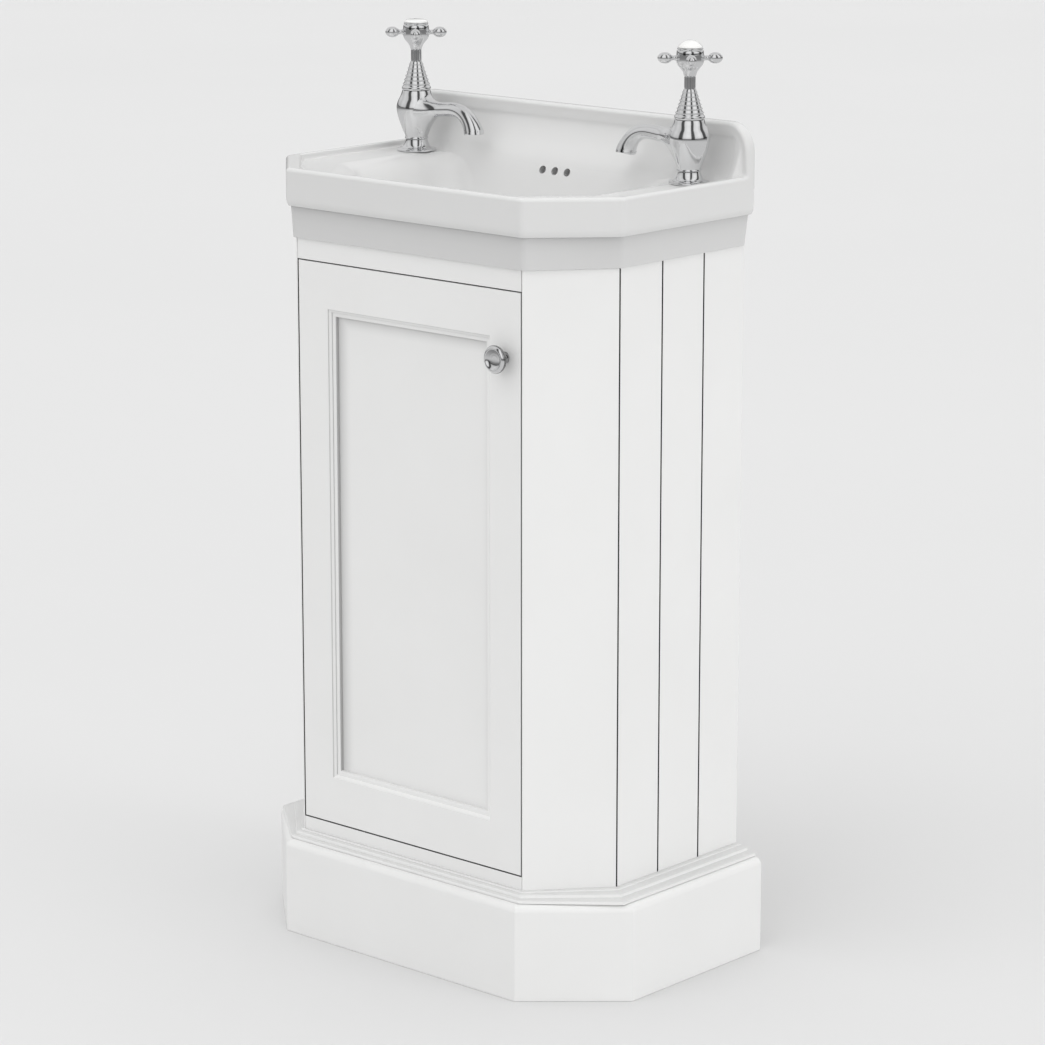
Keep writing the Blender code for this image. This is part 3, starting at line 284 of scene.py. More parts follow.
def repeatTree():
    # copies of the incoming shape: each one is moved, turned about Z and scaled a step further
    tree = bpy.data.node_groups.new("repeatShape", "GeometryNodeTree")
    for name, kind in (("Geometry", "Geometry"), ("Count", "Int"), ("Start", "Vector"), ("Step", "Vector"),
                       ("First Turn", "Float"), ("Turn Each", "Float"), ("First Size", "Float"),
                       ("Last Size", "Float"), ("Material", "Material")):
        tree.interface.new_socket(name, in_out="INPUT", socket_type="NodeSocket" + kind)
    tree.interface.new_socket("Geometry", in_out="OUTPUT", socket_type="NodeSocketGeometry")
    given = tree.nodes.new("NodeGroupInput").outputs
    index = wired(tree, "GeometryNodeInputIndex", {})
    spot = wired(tree, "ShaderNodeVectorMath", {0: index, 1: given["Step"], 2: given["Start"]},
                 operation="MULTIPLY_ADD")
    points = wired(tree, "GeometryNodePoints", {"Count": given["Count"], "Position": spot})
    turn = computed(tree, "MULTIPLY_ADD", index, given["Turn Each"], given["First Turn"])
    size = ranged(tree, index, 0, computed(tree, "SUBTRACT", given["Count"], 1), given["First Size"],
                  given["Last Size"])
    copies = wired(tree, "GeometryNodeInstanceOnPoints", {
        "Points": points, "Instance": given["Geometry"], "Scale": size,
        "Rotation": wired(tree, "ShaderNodeCombineXYZ", {"Z": turn})})
    plain = wired(tree, "GeometryNodeRealizeInstances", {0: copies})
    painted = wired(tree, "GeometryNodeSetMaterial", {"Geometry": plain, "Material": given["Material"]})
    setInputs(tree, tree.nodes.new("NodeGroupOutput"), {0: painted})
    return tree


repeatShape = repeatTree()


def repeated(mesh, finish, count, start=(0, 0, 0), step=(0, 0, 0), firstTurn=0.0, turnEach=0.0, sizes=(1, 1)):
    # runs the repeat tree on a mesh that is modelled round the origin
    item = helper("repeat", mesh)
    modifier = item.modifiers.new("repeat", "NODES")
    modifier.node_group = repeatShape
    values = {"Count": count, "Start": start, "Step": step, "First Turn": math.radians(firstTurn),
              "Turn Each": math.radians(turnEach), "First Size": float(sizes[0]), "Last Size": float(sizes[1]),
              "Material": finish}
    for socket in repeatShape.interface.items_tree:
        if socket.in_out == "INPUT" and socket.name in values:
            modifier[socket.identifier] = values[socket.name]
    return baked(item)


# finishes
noiseSpan = (0.3, 0.7)  # where most of a noise's values lie


def finishOf(name, values):
    # one procedural finish: two close tones, patchy gloss, and a fine surface over a slow one
    finish = bpy.data.materials.new(name)
    finish.use_nodes = True
    tree = finish.node_tree
    coords = wired(tree, "ShaderNodeTexCoord", {}, "Object")

    def noiseOf(scale, detail):
        place = wired(tree, "ShaderNodeMapping", {"Vector": coords, "Scale": values.get("stretch", (1, 1, 1))})
        return wired(tree, "ShaderNodeTexNoise", {"Vector": place, "Scale": scale, "Detail": detail})

    patches = ranged(tree, noiseOf(values["patchScale"], 4.0), *noiseSpan)
    colour = mixedColours(tree, patches, (*values["colour"], 1), (*values["shade"], 1))
    # painted shade: faces that carry marks darken towards the finish's dark colour
    if "seam" in values:
        dark = wired(tree, "ShaderNodeAttribute", {}, "Fac", attribute_name="seam")
        colour = mixedColours(tree, dark, colour, (*values["seam"], 1))
    surface = {}
    for scale, distance in values["bumps"]:
        relief = {"Height": noiseOf(scale, 2.0), "Distance": distance, "Strength": 1.0}
        surface = {"Normal": wired(tree, "ShaderNodeBump", relief | surface)}
    gloss = ranged(tree, noiseOf(values["glossScale"], 3.0), *noiseSpan, *values["roughness"])
    setInputs(tree, tree.nodes["Principled BSDF"], {
        "Base Color": colour, "Roughness": gloss, "Metallic": values.get("metallic", 0.0),
        "Coat Weight": values.get("coat", 0.0), "Coat Roughness": values.get("coatRoughness", 0.03)} | surface)
    return finish


# each finish's dark colour under the last key is painted shade: marked faces darken towards it in grooves, on
# steps, under overhangs, round the knob and in holes
satinPaint = finishOf("satinPaint", {
    "colour": (0.790, 0.790, 0.785), "shade": (0.770, 0.770, 0.764), "patchScale": 7.0, "glossScale": 40.0,
    "roughness": (0.36, 0.46), "bumps": [(30.0, 0.00008), (1400.0, 0.000010)], "seam": (0.040, 0.040, 0.040)})
whiteBoard = finishOf("whiteBoard", {
    "colour": (0.740, 0.735, 0.720), "shade": (0.700, 0.695, 0.680), "patchScale": 18.0, "glossScale": 60.0,
    "roughness": (0.48, 0.60), "bumps": [(900.0, 0.00003)], "stretch": (0.25, 1, 1)})
whiteGlaze = finishOf("whiteGlaze", {
    "colour": (0.670, 0.670, 0.667), "shade": (0.655, 0.655, 0.651), "patchScale": 5.0, "glossScale": 9.0,
    "roughness": (0.16, 0.22), "coat": 0.15, "coatRoughness": 0.06, "bumps": [(16.0, 0.00012)],
    "seam": (0.50, 0.50, 0.50)})
indexChina = finishOf("indexChina", {
    "colour": (0.800, 0.798, 0.790), "shade": (0.780, 0.778, 0.768), "patchScale": 60.0, "glossScale": 90.0,
    "roughness": (0.08, 0.14), "coat": 0.5, "bumps": [(140.0, 0.00002)]})
chromePlate = finishOf("chromePlate", {
    "colour": (0.800, 0.803, 0.810), "shade": (0.770, 0.773, 0.780), "patchScale": 30.0, "glossScale": 120.0,
    "roughness": (0.03, 0.08), "metallic": 1.0, "bumps": [(90.0, 0.000012)], "seam": (0.07, 0.07, 0.07)})
turnedBrass = finishOf("turnedBrass", {
    "colour": (0.720, 0.550, 0.280), "shade": (0.600, 0.440, 0.210), "patchScale": 50.0, "glossScale": 300.0,
    "roughness": (0.22, 0.38), "metallic": 1.0, "bumps": [(1500.0, 0.00001)], "stretch": (1, 1, 6)})
zincSteel = finishOf("zincSteel", {
    "colour": (0.600, 0.600, 0.610), "shade": (0.520, 0.520, 0.530), "patchScale": 90.0, "glossScale": 200.0,
    "roughness": (0.28, 0.42), "metallic": 1.0, "bumps": [(900.0, 0.00001)]})
blackRubber = finishOf("blackRubber", {
    "colour": (0.045, 0.045, 0.045), "shade": (0.030, 0.030, 0.030), "patchScale": 80.0, "glossScale": 150.0,
    "roughness": (0.60, 0.75), "bumps": [(700.0, 0.00002)]})
whitePlastic = finishOf("whitePlastic", {
    "colour": (0.720, 0.720, 0.710), "shade": (0.690, 0.690, 0.680), "patchScale": 60.0, "glossScale": 150.0,
    "roughness": (0.42, 0.52), "bumps": [(1200.0, 0.00002)]})
print("finishes ready")

# cabinet boards
boards = {"paintedEase": 0.0006, "innerEase": 0.0004, "thinEase": 0.0002, "segments": 2}
boardNames = {"shelf": "shelfBoard"}


def easedBoard(node, finish, arris=boards["innerEase"], body="unit"):
    # a copy of a CAD board with its arrises eased
    shape = bmesh.new()
    shape.from_mesh(frame["nodes"][node].data)
    bmesh.ops.remove_doubles(shape, verts=shape.verts, dist=weldDistance)
    bmesh.ops.dissolve_limit(shape, angle_limit=flatAngle, verts=shape.verts, edges=shape.edges)
    sharp = [edge for edge in shape.edges if len(edge.link_faces) == 2 and edge.calc_face_angle() > edgeAngle]
    bevelled(shape, sharp, arris, boards["segments"])
    scenePiece(boardNames.get(node, pieceName(node)), finished(shape, 32), finish, [node], body)


def cabinetBoards():
    for side in ("left", "right"):
        easedBoard("corner_post_" + side, satinPaint, boards["paintedEase"])
        for node in ("shelf_cleat_", "plinth_batten_"):
            easedBoard(node + side, whiteBoard)
    for node in ("fascia_rail", "bottom_rail"):
        easedBoard(node, satinPaint)
    for node in ("cabinet_floor", "rear_rail_top", "shelf", "rear_rail_bottom", "plinth_batten_front"):
        easedBoard(node, whiteBoard)
    print("cabinet boards eased")


cabinetBoards()

sidePanelLook = {"half": 0.240, "span": 0.214, "thickness": 0.018, "skin": 0.003, "groove": 0.0023, "boards": 3,
                 "gap": 0.0003, "ease": 0.0003, "seamFrom": 0.0003, "seamEnd": 0.001}


def slabMesh(near, far, arris):
    # a board with eased arrises between two corners
    shape = bmesh.new()
    bmesh.ops.create_cube(shape, size=1.0)
    low, high = (Vector([pick(pair) for pair in zip(near, far)]) for pick in (min, max))
    bmesh.ops.scale(shape, vec=high - low, verts=shape.verts)
    bmesh.ops.translate(shape, vec=(low + high) / 2, verts=shape.verts)
    bevelled(shape, shape.edges[:], arris)
    return finished(shape, 32)


def grooveShade(face, spot):
    # painted shade: dark on the grooves' floors and walls, short of the panel's edges
    look, middle = sidePanelLook, face.center
    deep = look["half"] - look["skin"] - look["gap"] * 2 < abs(middle.x) < look["half"] - look["seamFrom"]
    upright = look["seamEnd"] < middle.z < cabinetTop - look["seamEnd"]
    return float(deep and upright and middle.y < backPlane - look["seamFrom"])


def sidePanels():
    # a backing board with upright face boards repeated along it, so that grooves stay between them
    look = sidePanelLook
    pitch = look["span"] / look["boards"]
    shoulder = backPlane - look["span"]
    for hand, side in ((-1, "left"), (1, "right")):
        inner, floor, face = (hand * (look["half"] - depth) for depth in (look["thickness"], look["skin"], 0))
        backing = slabMesh((inner, shoulder + look["gap"], 0), (floor, backPlane, cabinetTop), look["ease"])
        near = (floor - hand * look["gap"], look["groove"], 0)
        board = slabMesh(near, (face, pitch, cabinetTop), look["ease"])
        runs = repeated(board, satinPaint, look["boards"], (0, shoulder, 0), (0, pitch, 0))
        mesh = marked(joined(32, backing, runs), grooveShade)
        scenePiece("sidePanel" + side.title(), mesh, satinPaint, ["side_panel_" + side])
    print("side panels lined")


sidePanels()

# plan outlines: half width, depth, and the cut of the front corner along x and along y
plans = {
    "plinth": (0.2775, 0.3170, 0.098, 0.089),
    "moulding": (0.2688, 0.3085, 0.0902, 0.0745),
    "cabinet": (0.2400, 0.2940, 0.068, 0.080),
    "foot": (0.2432, 0.2968, 0.0691, 0.0835),
    "footTop": (0.2480, 0.2980, 0.0722, 0.0798),
    "step": (0.2528, 0.3012, 0.0760, 0.0760),
    "band": (0.2557, 0.3038, 0.0787, 0.0780),
    "mouth": (0.1960, 0.2860, 0.0680, 0.0870),
}


def insetPlan(plan, amount):
    # moves the sides, front and cut corners of a plan inwards by the same amount
    half, depth, cutX, cutY = plan
    line = cutY * half + cutX * (depth - cutY) - amount * math.hypot(cutX, cutY)
    half, depth = half - amount, depth - amount
    return half, depth, half - (line - cutX * depth) / cutY, depth - (line - cutY * half) / cutX


def mixPlan(first, second, share):
    return tuple(a + (b - a) * share for a, b in zip(first, second))


def planRing(plan, height):
    # six corners of an outline, from the back left round the front to the back right
    half, depth, cutX, cutY = plan
    front = backPlane - depth
    right = [(half - cutX, front, height), (half, front + cutY, height), (half, backPlane, height)]
    return [(-x, y, z) for x, y, z in reversed(right)] + right


plinthLook = {"height": 0.112, "thickness": 0.018, "nosing": 0.009, "arcSteps": 8, "mitreEase": 0.0012,
              "mouldingTop": 0.1227, "footEase": 0.0008, "clear": 0.00005, "mouldingClear": 0.0002,
              "ledgeShade": 0.22, "ledgeTilt": (0.2, 0.9), "nosingShade": 0.07}
# share of the way from the cabinet to the moulding's line, and share of the moulding's height
mouldingShares = [(0.97, 0.00), (1.00, 0.04), (1.00, 0.20), (0.97, 0.32), (0.90, 0.40), (0.80, 0.42),
                  (0.62, 0.43), (0.605, 0.46), (0.60, 0.62), (0.575, 0.74), (0.53, 0.80), (0.46, 0.83),
                  (0.26, 0.84), (0.235, 0.86), (0.225, 0.92), (0.20, 0.98), (0.16, 1.00), (0.00, 1.00)]


def mitredRun(rings, mitreEase):
    # one closed section carried round the front in one piece, with capped ends on the wall
    shape = bmesh.new()
    rows = ringFaces(shape, rings, closed=False)
    for end in (0, -1):
        shape.faces.new([row[end] for row in rows])
    bmesh.ops.recalc_face_normals(shape, faces=shape.faces)
    mitres = [shape.edges.get((lower[corner], upper[corner])) for lower, upper in zip(rows, rows[1:])
              for corner in range(1, len(lower) - 1)]
    bevelled(shape, mitres, mitreEase, 3)
    return finished(shape, 42)


def plinthPiece(name, node, rings, mitreEase, shadeOf):
    words = ("left_side", "left_chamfer", "front", "right_chamfer", "right_side")
    scenePiece(name, marked(mitredRun(rings, mitreEase), shadeOf), satinPaint, [node + word for word in words])


def plinth():
    # the skirting's boards and the stepped moulding on their top
    look, footEase = plinthLook, plinthLook["footEase"]
    outer = insetPlan(plans["plinth"], look["clear"])
    inner = insetPlan(outer, look["thickness"])
    rings = [planRing(inner, 0), planRing(insetPlan(outer, footEase), 0), planRing(outer, footEase)]
    rings += [planRing(insetPlan(outer, inset), look["height"] - drop)
              for inset, drop in quarterRound(look["nosing"], look["arcSteps"])]
    rings.append(planRing(inner, look["height"]))
    plinthPiece("skirting", "skirting_", rings, look["mitreEase"],
                lambda face, spot: look["nosingShade"] * max(face.normal.z, 0))
    face, line = insetPlan(plans["cabinet"], -look["mouldingClear"]), plans["moulding"]
    foot = look["height"] + look["mouldingClear"]
    rise = look["mouldingTop"] - foot
    rings = [planRing(mixPlan(face, line, share), foot + rise * lift)
             for share, lift in [(0, 0)] + mouldingShares]
    plinthPiece("plinthMoulding", "moulding_", rings, look["mitreEase"] / 2,
                lambda face, spot: look["ledgeShade"] * ease(*look["ledgeTilt"], face.normal.z))
    print("plinth swept")


plinth()

# the door's outer edge and its opening: half width, foot and top
doorLook = {"outer": (0.16875, 0.1393, 0.7959), "opening": (0.12325, 0.1938, 0.7441), "thickness": 0.020,
            "arris": 0.0006, "recess": 0.0080, "beadWidth": 0.0092, "slot": 0.0072, "panel": 0.006,
            "panelCuts": (0.0, 0.003, 0.006, 0.010, 0.014, 0.018), "clear": 0.0003, "overrun": 0.004,
            "bushHole": 0.0037, "bushDepth": 0.0114, "screwHole": 0.0024, "screwDepth": 0.024,
            "pivotX": -0.16075, "pivotFromFace": 0.0045, "knobX": 0.146, "knobZ": 0.7229}
knobPlace = (doorLook["knobX"], frontPlane, doorLook["knobZ"])
# share across the bead from the frame's edge, and share of its sink
beadShares = [(0.00, 0.02), (0.03, 0.10), (0.10, 0.15), (0.24, 0.26), (0.38, 0.36), (0.40, 0.46),
              (0.43, 0.49), (0.60, 0.51), (0.78, 0.53), (0.88, 0.58), (0.95, 0.68), (0.99, 0.80),
              (1.00, 0.98)]
# how far each side's steps darken, and how far that side's shade reaches over the panel
beadShade = {"left": (1.00, 0.30, 0.016), "top": (0.50, 0.20, 0.012), "right": (0.30, 0.07, 0.008),
             "bottom": (0.25, 0.06, 0.008)}
# the dark steps: where each begins and ends across the bead, and its level
beadStrips = ((0.00, 0.10, 0.28), (0.37, 0.44, 0.34), (0.88, 1.01, 0.50))


def beadSides(spot):
    # how far inside the opening a point lies, from each of its sides
    half, low, high = doorLook["opening"]
    return {"left": half + spot.x, "right": half - spot.x, "bottom": spot.z - low, "top": high - spot.z}


def frameShade(face, spot):
    sides = beadSides(face.center)
    side = min(sides, key=sides.get)
    share = sides[side] / doorLook["beadWidth"]
    return sum(level for low, high, level in beadStrips if low < share < high) * beadShade[side][0]


def panelShade(face, spot):
    sides = beadSides(spot)
    return max(level * (1 - min(max(sides[side] - doorLook["beadWidth"], 0) / reach, 1))
               for side, (steps, level, reach) in beadShade.items())


def doorPanel():
    # the panel, cut up near its edges so that their soft shade can fade out over it
    look = doorLook
    near, far = nodeLimits("door_panel")
    near[1] = frontPlane + look["recess"]
    far[1] = near[1] + look["panel"]
    shape = bmesh.new()
    shape.from_mesh(slabMesh(near, far, boards["innerEase"]))
    half, low, high = look["opening"]
    across, up = Vector((1, 0, 0)), Vector((0, 0, 1))
    for away in look["panelCuts"]:
        inset = look["beadWidth"] + away
        cuts = ((across, inset - half), (across, half - inset), (up, low + inset), (up, high - inset))
        for along, place in cuts:
            whole = shape.verts[:] + shape.edges[:] + shape.faces[:]
            bmesh.ops.bisect_plane(shape, geom=whole, plane_co=along * place, plane_no=along)
    scenePiece("doorPanel", marked(finished(shape, 32), panelShade), satinPaint, ["door_panel"], "door")


def doorRing(edge, inset, y):
    half, low, high = doorLook[edge]
    x, low, high = half - inset, low + inset, high - inset
    return [(-x, y, low), (x, y, low), (x, y, high), (-x, y, high)]


def doorFrame():
    # stiles, rails and bead as one mitred section round the panel
    look = doorLook
    arris, bead, slot = look["arris"], look["beadWidth"], look["slot"]
    front, back = frontPlane, frontPlane + look["thickness"]
    near = front + look["recess"] - look["clear"] * 0.3
    far = front + look["recess"] + look["panel"] + look["clear"]
    outer = [(arris, back), (arris * 0.3, back - arris * 0.3), (0, back - arris)]
    outer += [(inset, front + sink) for inset, sink in quarterRound(arris, 4)]
    opening = [(-arris * 0.6, front)]
    opening += [(bead * share, front + look["recess"] * sink) for share, sink in beadShares]
    opening += [(bead, near), (-slot, near), (-slot, far), (-arris * 0.3, far), (0, far + arris),
                (0, back - arris), (-arris, back)]
    rings = [doorRing("outer", *spot) for spot in outer] + [doorRing("opening", *spot) for spot in opening]
    mesh = gridMesh(rings, sharpAngle=30)
    half, sill, top = look["outer"]
    depth, pivot = look["bushDepth"], (look["pivotX"], front + look["pivotFromFace"], 0)
    for low, high in ((sill - look["overrun"], sill + depth), (top - depth, top + look["overrun"])):
        mesh = subtract(mesh, rod(look["bushHole"], low, high, pivot, steps=32))
    mesh = subtract(mesh, rod(look["screwHole"], -look["screwDepth"], look["overrun"], knobPlace, "Y", 24))
    stands = ["door_stile_hinge", "door_stile_knob", "door_rail_top", "door_rail_bottom"]
    stands += ["door_bead_" + word for word in ("bottom", "left", "right", "top")]
    scenePiece("doorFrame", marked(resharpen(mesh, 30), frameShade), satinPaint, stands, "door")
    doorPanel()
    print("door framed")


doorFrame()

knobLook = {"face": 0.0155, "reach": 0.0200, "foot": 0.0066, "stem": 0.0048, "hole": 0.0023, "grip": 0.0083,
            "clear": 0.0003, "neckShade": 0.65, "neckEnd": 0.66, "neckFade": (-0.70, -0.60), "middle": 0.06,
            "edgeShade": 0.70, "edgeFrom": 0.955, "dishShade": 0.65, "dishRise": (0.10, 0.60),
            "rimFade": (-0.76, -0.70)}
# shares of the face's radius, or of the stem's and foot's, and of the reach
headShares = [(0, 0.850), (0.25, 0.855), (0.45, 0.870), (0.58, 0.900), (0.66, 0.945), (0.72, 0.985),
              (0.77, 1), (0.84, 0.990), (0.93, 0.93), (0.965, 0.885), (0.975, 0.860), (1, 0.845), (1, 0.76),
              (0.975, 0.725), (0.86, 0.68), (0.60, 0.62)]
neckShares = [("stem", 1.25, 0.53), ("stem", 1, 0.45), ("stem", 0.94, 0.30), ("stem", 1.05, 0.17),
              ("foot", 0.96, 0.11), ("foot", 1, 0.08)]
# radius and height over the back of the door of the screw's head, counted inwards
screwHead = [(0.002, 0), (0.0038, 0), (0.0040, 0.0005), (0.0036, 0.0014), (0.0026, 0.0020), (0.0012, 0.0022),
             (0.0010, 0.0012), (0, 0.0011)]


def knobShade(part, spot):
    # dark round the neck and under the edge, and along the top of the dish
    look = knobLook
    across, up = part.center.x - knobPlace[0], part.center.z - knobPlace[2]
    share = math.hypot(across, up) / look["face"]
    out = (knobPlace[1] - part.center.y) / look["reach"]
    if out < look["neckEnd"] or share < look["middle"]:
        return look["neckShade"] * ease(*look["neckFade"], -out)
    if share > look["edgeFrom"]:
        return look["edgeShade"]
    rim = ease(*look["dishRise"], share) * ease(*look["rimFade"], -share)
    return look["dishShade"] * max(up / look["face"] / share, 0) * rim


def doorKnob():
    # a dished head with a raised rim on a waisted stem, and its screw from behind
    look = knobLook
    reach, clear = look["reach"], look["clear"]
    shape = [(look["face"] * across, reach * out) for across, out in headShares]
    shape += [(look[part] * across, reach * out) for part, across, out in neckShares]
    shape += [(look["foot"], clear), (look["hole"], clear), (look["hole"], look["grip"]), (0, look["grip"])]
    mesh = marked(turned(shape, knobPlace, "Y", 72, 50), knobShade)
    scenePiece("doorKnob", mesh, chromePlate, ["knob"], "door")
    inside = doorLook["thickness"] + clear
    screw = [(0, 0.008), (0.0012, 0.008), (0.002, 0.0068)]
    screw += [(radius, -inside - height) for radius, height in screwHead]
    scenePiece("knobScrew", turned(screw, knobPlace, "Y", 32), zincSteel, ["knob_screw"], "door")
    print("knob turned")


doorKnob()

# radius and height from the door's top edge; both are mirrored at its foot
pivotShapes = {
    "pin": [(0, 0.0135), (0.0014, 0.0135), (0.0019, 0.0130), (0.0019, 0.0012), (0.0034, 0.0012),
            (0.0036, 0.0010), (0.0036, 0.0008), (0.0034, 0.0006), (0.0019, 0.0006), (0.0019, -0.0084),
            (0.0014, -0.0090), (0, -0.0090)],
    "bush": [(0.0022, 0), (0.0031, 0), (0.0033, -0.0002), (0.0033, -0.0108), (0.0031, -0.0110),
             (0, -0.0110), (0, -0.0100), (0.0022, -0.0100)],
}


def doorFittings():
    # pivots, catch and strike
    half, sill, top = doorLook["outer"]
    for word, edge, up in (("top", top, 1), ("bottom", sill, -1)):
        where = (doorLook["pivotX"], frontPlane + doorLook["pivotFromFace"], edge)
        for part, finish, body in (("pin", zincSteel, "unit"), ("bush", turnedBrass, "door")):
            mesh = turned([(radius, height * up) for radius, height in pivotShapes[part]], where, steps=40)
            node = "pivot_" + part + "_" + word
            scenePiece(pieceName(node), mesh, finish, [node], body)
    easedBoard("catch_body", whitePlastic)
    easedBoard("catch_strike", zincSteel, boards["thinEase"], "door")
    print("door fittings ready")


doorFittings()

gapShadeLook = {"halfOpening": 0.1705, "reach": 0.0012, "hingeReach": 0.0003, "topReach": 0.0011, "from": 0.0002,
            "deep": 0.0026}


def gapShadeStrip():
    # a thin dark strip round the opening, set in the gap round the door as painted shade; it closes the sight
    # line into the gap
    look = gapShadeLook
    low, high = nodeLimits("bottom_rail")[1][2], nodeLimits("fascia_rail")[0][2]
    rings = []
    for reach, depth in ((0, look["from"]), (1, look["from"]), (1, look["deep"]), (0, look["deep"])):
        left = look["hingeReach"] * reach - look["halfOpening"]
        right = look["halfOpening"] - look["reach"] * reach
        foot, top = low + look["topReach"] * reach, high - look["topReach"] * reach
        y = frontPlane + depth
        rings.append([(left, y, foot), (right, y, foot), (right, y, top), (left, y, top)])
    scenePiece("gapShadeStrip", gridMesh(rings), blackRubber)
    print("door seal fitted")


gapShadeStrip()

# basin
basinLook = {"foot": 0.8211, "upstandTop": 0.9587, "upstandThick": 0.016, "cornerWide": 0.028,
             "cornerTall": 0.034, "cornerLeast": 0.006, "endWall": (0.166, 0.200), "arris": 0.0045,
             "arrisSteps": 8, "rootRound": 0.004, "planRound": 0.011, "mouthSideRound": 0.030,
             "mouthFrontRound": 0.020, "mouthBackRound": 0.030, "border": 0.0165, "borderFade": 0.0020,
             "borderSide": 0.0022, "borderStep": 0.0010, "lipCut": (0.012, 0.013), "flare": (0.005, 0.0118),
             "turnIn": 0.45, "backGap": 0.0012, "backRound": 0.003, "apron": 0.012, "apronRound": 0.004,
             "apronDrop": 0.003, "apronMiddle": 0.850, "apronRise": 0.0006, "apronEase": 0.0008,
             "ceiling": 0.881, "shell": 0.010, "wasteFromBack": 0.157, "floor": 0.785}
# the plan and depth at which the shell's outside meets the ceiling, as in bowlLevels
shellPlan = (0.1760, 0.0440, 0.2750, 0.95)
# how the bowl's corners grow rounder and its rings round off towards the waste
bowlLook = {"rounder": 1.2, "bendGrowth": 0.03, "cornerLimit": 0.45, "cutLimit": 1.25, "least": 0.004,
            "insideFrom": 0.42, "outsideFrom": 0.45, "most": 0.9}
# outer walls between pairs of plans, from the foot up to the band: height and share of the way
outerWall = [
    ("foot", "footTop", [(0.8211, 0.010), (0.8216, 0.0), (0.8300, 0.23), (0.8400, 0.50), (0.8480, 0.73),
                         (0.8545, 0.93), (0.8560, 1.00)]),
    ("footTop", "step", [(0.8567, 0.55), (0.8570, 0.86), (0.8573, 0.97)]),
    ("step", "band", [(0.8580, 0.10), (0.8600, 0.48), (0.8620, 0.74), (0.8645, 0.92), (0.8680, 1.0),
                      (0.8760, 1.0)]),
]
# inset from the rim's outline, and height
rimProfile = [(0.0060, 0.9000), (0.0069, 0.8998), (0.0077, 0.8992), (0.0083, 0.8984), (0.0086, 0.8972),
              (0.0088, 0.8958), (0.0094, 0.8945), (0.0104, 0.8935), (0.0118, 0.8931)]
# height, and how far the raised back's face lies from the wall
wallProfile = [(0.8930, 0.0447), (0.8980, 0.0422), (0.9030, 0.0390), (0.9080, 0.0351), (0.9130, 0.0309),
               (0.9190, 0.0262), (0.9250, 0.0223), (0.9320, 0.0186), (0.9380, 0.0165), (0.9430, 0.0156),
               (0.9500, 0.0151), (0.9600, 0.0150)]
# the same beside the taps, where the wall turns sooner into the deck
endProfile = [(0.8930, 0.0352), (0.8945, 0.0318), (0.8970, 0.0290), (0.9010, 0.0262), (0.9060, 0.0236),
              (0.9130, 0.0209), (0.9210, 0.0187), (0.9290, 0.0170), (0.9370, 0.0158), (0.9430, 0.0153),
              (0.9500, 0.0151), (0.9600, 0.0150)]
# how far each ring of the deck has come from the rim to the bowl
deckShares = [0.03, 0.06, 0.075, 0.09, 0.13, 0.18, 0.24, 0.31, 0.38, 0.46, 0.54, 0.62, 0.70, 0.78, 0.85,
              0.91, 0.96, 1.0]
# height, half width, back and front of the bowl, share of the mouth's corner cuts
bowlLevels = [(0.8927, 0.1920, 0.0448, 0.2848, 1.00), (0.8918, 0.1875, 0.0452, 0.2834, 0.99),
              (0.8903, 0.1830, 0.0459, 0.2818, 0.98), (0.8880, 0.1785, 0.0469, 0.2800, 0.97),
              (0.8850, 0.1745, 0.0481, 0.2780, 0.95), (0.8800, 0.1695, 0.0500, 0.2752, 0.93),
              (0.8720, 0.1633, 0.0530, 0.2712, 0.91), (0.8620, 0.1561, 0.0570, 0.2661, 0.88),
              (0.8500, 0.1480, 0.0621, 0.2595, 0.85), (0.8400, 0.1413, 0.0668, 0.2535, 0.82),
              (0.8300, 0.1340, 0.0720, 0.2470, 0.79), (0.8200, 0.1262, 0.0779, 0.2400, 0.76),
              (0.8120, 0.1195, 0.0834, 0.2340, 0.73), (0.8050, 0.1120, 0.0893, 0.2280, 0.70),
              (0.7990, 0.1035, 0.0960, 0.2210, 0.66), (0.7945, 0.0940, 0.1035, 0.2130, 0.61),
              (0.7910, 0.0830, 0.1123, 0.2035, 0.55), (0.7885, 0.0700, 0.1225, 0.1935, 0.48),
              (0.7870, 0.0550, 0.1315, 0.1845, 0.40), (0.7860, 0.0400, 0.1385, 0.1770, 0.30)]
# radius and height of the waste hole's edge, with the bowl above and the shell below
holeProfile = [(0.0300, 0.7854), (0.0245, 0.7851), (0.0231, 0.7849), (0.0225, 0.7843), (0.0225, 0.7800),
               (0.0225, 0.7752), (0.0230, 0.7748), (0.0300, 0.7748)]
# faces along each stretch of a ring
ringCounts = {"back": 30, "arc": 10, "end": 16, "side": 16, "shoulder": 6, "chamfer": 12, "nose": 6,
              "front": 16}


def curveAt(table, spot):
    # linear reading of a table of pairs
    return float(np.interp(spot, *zip(*table)))


def wallDepth(z, x):
    # how far the raised back's face lies from the wall: fullest over the bowl
    aside = ease(*basinLook["endWall"], abs(x))
    return curveAt(wallProfile, z) * (1 - aside) + curveAt(endProfile, z) * aside


def standOut(rise, sink=0.0):
    # depth of the raised back's plain face at a height over the rim, which it meets in a small hollow
    thick = basinLook["upstandThick"]
    root = basinLook["rootRound"] * (1 - sink / thick)
    return thick - sink + (root - math.sqrt(max(root * root - (root - rise) ** 2, 0)) if rise < root else 0)


def faceAt(z, x):
    # the raised back's face with its border standing proud along the top and the ends
    look = basinLook
    edge = min(plans["band"][0] - x - look["borderSide"], look["upstandTop"] - z)
    sunk = ease(look["border"] - look["borderFade"], look["border"] + look["borderFade"], edge)
    step = look["borderStep"]
    return max(wallDepth(z, x) + step * (1 - sunk), look["upstandThick"] - step * sunk)


def arcBetween(start, corner, end, count):
    # a tangent curve from start to end that bends at corner
    shares = np.linspace(0, 1, count)[:, None]
    first, second = start + (corner - start) * shares, corner + (end - corner) * shares
    return first + (second - first) * shares


